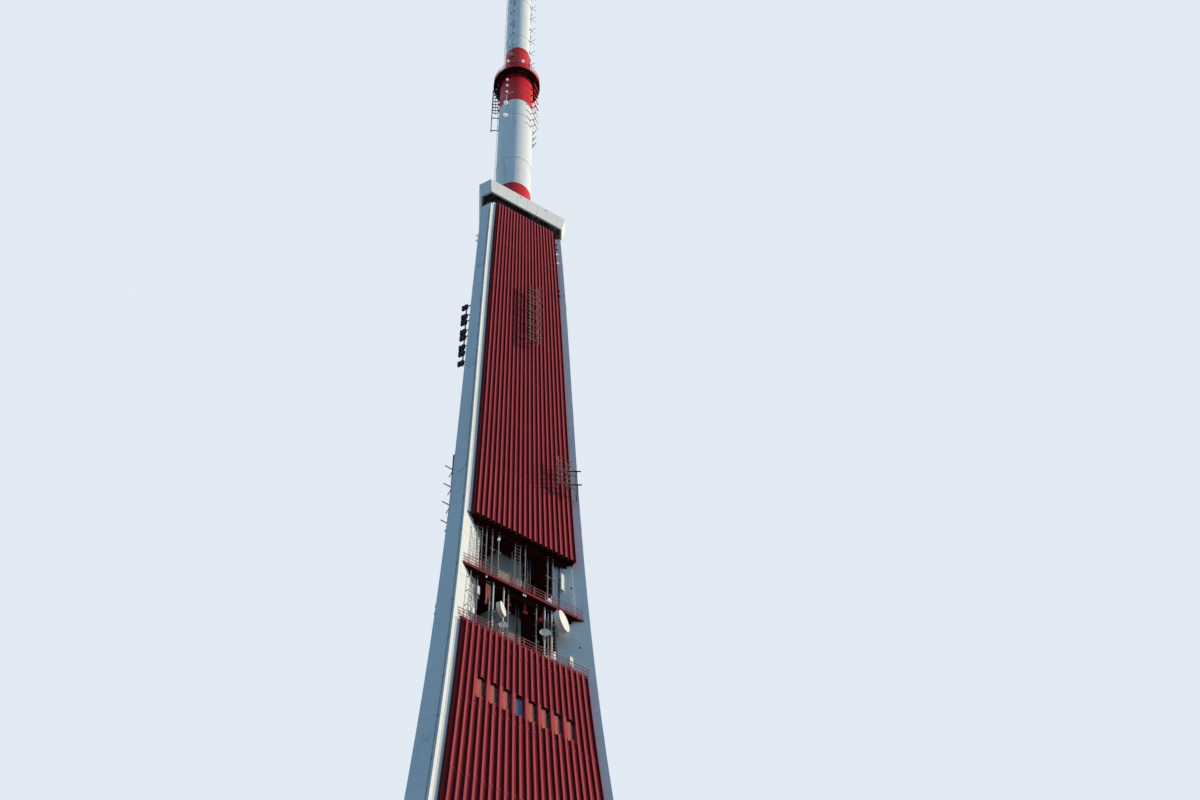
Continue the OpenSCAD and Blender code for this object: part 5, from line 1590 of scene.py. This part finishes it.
def makeDipoleParts():
    collars, insulators, guards = shapes(3)
    azimuth = ringDipoles["azimuth"]
    for i, depth in enumerate(ringDipoles["collars"]):
        z = mastTop + depth
        collars.turned(around(azimuth, 0.187, z), around(azimuth, 1, 0), neck(0.011, 0.003, 0.007, 0.004, 0.008), 16)
        collars.turned(around(azimuth, 0.268, z - 0.008), up, [(0.0045, 0), (0.0075, 0.001), (0.0075, 0.015),
            (0.0045, 0.016)], 16)
        for y in (-0.0395, 0.0395) if i >= ringDipoles["ringed"] else ():
            insulators.turned(around(azimuth, 0.233, z - 0.007, y), up, [(0.0052, 0), (0.0066, 0.002),
                (0.0052, 0.004), (0.0066, 0.007), (0.0052, 0.01), (0.0066, 0.012), (0.0052, 0.014)], 14)
    for azimuth, count, arm, length in sideDipoles["rows"]:
        for i in range(count):
            z = mastTop + sideDipoles["lowest"] + i * sideDipoles["step"]
            place = onMast(azimuth, wideTube, z)
            collars.turned(around(azimuth, 0.187, z), around(azimuth, 1, 0), [(0.011, 0), (0.011, 0.003),
                (0.0065, 0.004), (0.0062, 0.012)], 16)
            for ys in ((-length / 2, 0.006 - length / 2), (length / 2 - 0.006, length / 2)):
                collars.block(place, (arm - 0.005, arm + 0.0055), ys, (-0.0122, 0.0122))
            collars.block(place, (arm - 0.01, arm - 0.003), (-0.009, 0.009), (-0.009, 0.009))
    azimuth = mastLamps["azimuth"]
    for depth, size in mastLamps["places"]:
        z, out = mastTop + depth, around(azimuth, 1, 0)
        centre = around(azimuth, 0.1883 + size * 1.5, z)
        guards.hoop(centre, out, size + 0.0012, 0.0011, 28)
        guards.hoop(centre, up, size + 0.0012, 0.0009, 28)
        guards.turned(around(azimuth, 0.1875, z), out, neck(size * 0.8, 0.003, size * 0.55, 0.004, 0.008), 20)
    makePieces(dipoleCollars=(collars, "mastPaint"), ringInsulators=(insulators, "signalWhite"),
        mastLampGuards=(guards, "galvanised"))


makeDipoleParts()

# Collars higher up (level, inner and outer radius), beacons on them, and the fittings of the thin tip
collarParts = {"collars": [(30.5, 0.098, 0.18), (33.8, 0.058, 0.138), (35.7, 0.024, 0.098)], "posts": 10,
    "rails": (0.064, 0.114), "tipFlanges": (35.95, 36.2, 36.45), "rods": (35.86, 36.08, 36.32), "rodOut": 0.062}


def makeUpperMast():
    values = collarParts
    rails, beacons, glasses = shapes(3)
    for level, inner, outer in values["collars"]:
        r = outer - 0.004
        for lift in values["rails"]:
            rails.hoop((0, 0, level + lift), up, r, 0.0018, 64)
        line = [(inner + 0.04, -0.001), (outer - 0.002, 0.001), (outer - 0.002, -0.004), (inner + 0.04, -0.045)]
        for i in range(values["posts"]):
            a = 360 / values["posts"] * i
            rails.bar(onMast(a, r, level), [(0, 0, 0.012), (0, 0, 0.114)], 0.0017)
            rails.plate(spot(rotation(a + 18), 0, 0, level), line, 0.002)
        for a in (8, 128, 248):
            base = around(a, outer - 0.014, level + 0.014)
            beacons.turned(base, up, [(0.009, 0), (0.009, 0.004), (0.005, 0.006), (0.005, 0.012), (0.01, 0.014),
                (0.01, 0.018)], 20)
            glasses.turned(base + up * 0.0175, up, [(0.0094, 0), (0.01, 0.01), (0.0085, 0.018), (0.004, 0.023),
                (0.0005, 0.024)], 24)
    for z in values["tipFlanges"]:
        rails.turned((0, 0, z), up, [(0.0235, 0), (0.029, 0.001), (0.029, 0.013), (0.0235, 0.014)], 40, closed=True)
    for a in (45, 135, 225, 315):
        for z in values["rods"]:
            place = onMast(a, values["rodOut"], z)
            rails.bar(place, [(-0.04, 0, 0), (0, 0, 0)], 0.0018)
            rails.bar(place, [(0, 0, -0.045), (0, 0, 0.045)], 0.0024)
    makePieces(upperMastRails=(rails, "mastPaint"), beaconStems=(beacons, "galvanised"),
        beaconGlasses=(glasses, "lampRed"))


makeUpperMast()
print("mast parts made")

# Cap: lips round the band, cover strips, roof plant and what stands in the recess
capParts = {"bottom": 21.99, "top": 22.2, "long": (0.31, 0.335), "short": (0.515, 0.551), "stripPitch": 0.118,
    "endStrips": (-0.045, 0.045), "vents": (-0.083, 0.21), "cabinets": [(-0.22, -0.245, 0.075, 0.05, 0.06, 6),
    (-0.12, -0.262, 0.055, 0.045, 0.05, 5)], "boxes": [(0.1, 0.045), (0.155, 0.03), (0.365, 0.03)],
    "ring": 0.262, "ringPosts": 12, "rails": (0.045, 0.085)}


def capReach(side, z):
    low, high = capParts[side]
    return low + (high - low) * (z - capParts["bottom"]) / (capParts["top"] - capParts["bottom"])


def capRing(shape, profile):
    rings = []
    for grow, z in profile:
        far, near = capReach("long", z) + grow, capReach("short", z) + grow
        reach = (near - far / 2) / cos30
        rings.append([turn @ Vector((side * reach, -far, z)) for turn in wallTurns for side in (-1, 1)])
    shape.loft(list(zip(*rings)), closed=True)


def makeCapParts():
    values = capParts
    lips, strips, plant, recess, vents = shapes(5)
    low, high, line = values["bottom"], values["top"], bent(wallRadius, tower["upperTop"])
    capRing(lips, [(-0.018, low - 0.001), (-0.0005, low - 0.001), (-0.0005, low + 0.008), (-0.018, low + 0.008)])
    capRing(lips, [(-0.02, high - 0.006), (-0.0012, high - 0.006), (-0.0012, high + 0.003), (-0.02, high + 0.003)])
    for k, turn in enumerate(wallTurns):
        def face(x, out, z):
            return turn @ Vector((x, -capReach("long", z) - out, z))

        def end(x, out, z):
            return pillarTurns[k] @ Vector((capReach("short", z) + out, x, z))

        for place, middles, wide, narrow in ((face, [i * values["stripPitch"] for i in range(-3, 4)], 0.0035,
                0.0026), (end, values["endStrips"], 0.003, 0.0022)):
            for x in middles:
                strips.loft([[place(x + a, out, z) for a, out in ((-wide, -0.001), (wide, -0.001), (narrow, 0.0012),
                    (-narrow, 0.0012))] for z in (low + 0.008, high - 0.006)])
        for x in values["vents"]:
            vents.turned(face(x, -0.0005, high - 0.03), wallOut[k], [(0.008, 0), (0.008, 0.002), (0.006, 0.0025),
                (0.006, 0.001), (0.0005, 0.001)], 20)
        # roof: cabinets, a hatch and cable ducts
        for x, y, *size in values["cabinets"]:
            finnedUnit(plant, spot(turn, x, y, high - 0.001), *size)
        roof = spot(turn, 0, 0, high - 0.001)
        plant.block(roof, (0.08, 0.17), (-0.29, -0.23), (0, 0.014))
        plant.block(roof, (0.077, 0.173), (-0.293, -0.227), (0.013, 0.018))
        plant.bar(roof, [(0.11, -0.225, 0.016), (0.11, -0.222, 0.024), (0.14, -0.222, 0.024), (0.14, -0.225, 0.016)],
            0.0018)
        plant.bar(roof, [(x, -0.3, 0.007) for x in (-0.34, 0.34)], 0.0045, 10)
        # recess under the band: what is fixed to the bracing
        back = spot(turn, 0, -line)
        for x, width in values["boxes"]:
            recess.block(back, span(x, width / 2), (-0.03, -0.007), (22.0, 22.06))
            recess.block(back, span(x, width / 2 + 0.002), (-0.033, -0.0295), (21.998, 22.062))
            for j in range(4):
                recess.block(back, span(x, width * 0.4), (-0.0345, -0.032), (22.006 + j * 0.013, 22.01 + j * 0.013))
        for x in [-0.34 + j * 0.17 for j in range(5)]:
            vents.bar(back, [(x, -0.009, 21.85), (x, -0.009, 22.16)], 0.003)
            vents.hoop(back(x, -0.009, 21.95), up, 0.0045, 0.0012, 14)
    r = values["ring"]
    for i in range(values["ringPosts"]):
        plant.bar(onMast(360 / values["ringPosts"] * (i + 0.5), r, high), [(0, 0, -0.001), (0, 0, 0.085)], 0.0022)
    for lift in values["rails"]:
        plant.hoop((0, 0, high + lift), up, r, 0.002, 72)
    makePieces(capLips=(lips, "bandCream", None, 0.0006), capStrips=(strips, "bandCream"),
        capRoofPlant=(plant, "greySteel"), recessBoxes=(recess, "boxBlue", None, 0.0005),
        capVents=(vents, "darkSteel"))


makeCapParts()
print("cap parts made")

# Stage, lights and camera
lighting = {"sunAzimuth": -30.5, "sunHeight": 30, "sunStrength": 3.75, "sunColour": (1.0, 0.93, 0.79),
    "sunSoftness": 3.0, "sky": (0.24, 0.54, 1.0), "skyStrength": 0.66, "backdrop": (0.76, 0.82, 0.9),
    "floorSize": 90, "floor": (0.1, 0.1, 0.095), "floorSeen": (0.74, 0.77, 0.8)}


def makeStage():
    values = lighting
    world = bpy.data.worlds.new("studio")
    scene.world = world
    world.use_nodes = True
    world.node_tree.nodes.clear()
    nodes = Nodes(world.node_tree)
    sky = nodes.add("Background", {"Color": values["sky"], "Strength": values["skyStrength"]})
    white = nodes.add("Background", {"Color": values["backdrop"], "Strength": 1.0})
    mixed = nodes.add("MixShader", {0: nodes.cameraSeen(), 1: sky.outputs[0], 2: white.outputs[0]})
    nodes.add("OutputWorld", {0: mixed.outputs[0]})

    mesh = bpy.data.meshes.new("studioFloor")
    size = values["floorSize"]
    mesh.from_pydata([(x, y, 0) for x, y in ((-size, -size), (size, -size), (size, size), (-size, size))], [],
        [(0, 1, 2, 3)])
    nodes, shader = newMaterial("studioFloor")
    nodes.fill(shader, {"Base Color": nodes.mix(nodes.cameraSeen(), values["floor"], values["floorSeen"]),
        "Roughness": 0.9})
    mesh.materials.append(materials["studioFloor"])
    floor = bpy.data.objects.new("studioFloor", mesh)
    scene.collection.objects.link(floor)

    azimuth, height = math.radians(values["sunAzimuth"]), math.radians(values["sunHeight"])
    toSun = Vector((math.cos(height) * math.cos(azimuth), math.cos(height) * math.sin(azimuth), math.sin(height)))
    lamp = bpy.data.lights.new("key", "SUN")
    lamp.energy, lamp.color, lamp.angle = values["sunStrength"], values["sunColour"], math.radians(
        values["sunSoftness"])
    key = bpy.data.objects.new("key", lamp)
    key.rotation_mode = "QUATERNION"
    key.rotation_quaternion = (-toSun).to_track_quat("-Z", "Y")
    scene.collection.objects.link(key)


view = {"place": (-5.29477, -9.62222, 0.16), "yaw": 0.58092819, "pitch": 1.03510215, "roll": -0.03043735,
    "focal": 2382.668, "imageWidth": 1200, "sensor": 36, "far": 400}


def makeCamera():
    yaw, pitch, roll = view["yaw"], view["pitch"], view["roll"]
    ahead = Vector((math.sin(yaw) * math.cos(pitch), math.cos(yaw) * math.cos(pitch), math.sin(pitch)))
    right = Vector((math.cos(yaw), -math.sin(yaw), 0))
    above = right.cross(ahead)
    right, above = (right * math.cos(roll) + above * math.sin(roll), above * math.cos(roll) - right * math.sin(roll))
    data = bpy.data.cameras.new("camera")
    data.sensor_width = view["sensor"]
    data.lens = view["focal"] / view["imageWidth"] * view["sensor"]
    data.clip_end = view["far"]
    camera = bpy.data.objects.new("camera", data)
    turn = Matrix((right, above, -ahead)).transposed().to_4x4()
    camera.matrix_world = Matrix.Translation(view["place"]) @ turn
    scene.collection.objects.link(camera)
    scene.camera = camera


makeStage()
makeCamera()
scene.view_settings.view_transform = "Standard"
print("pieces:", len(pieces))
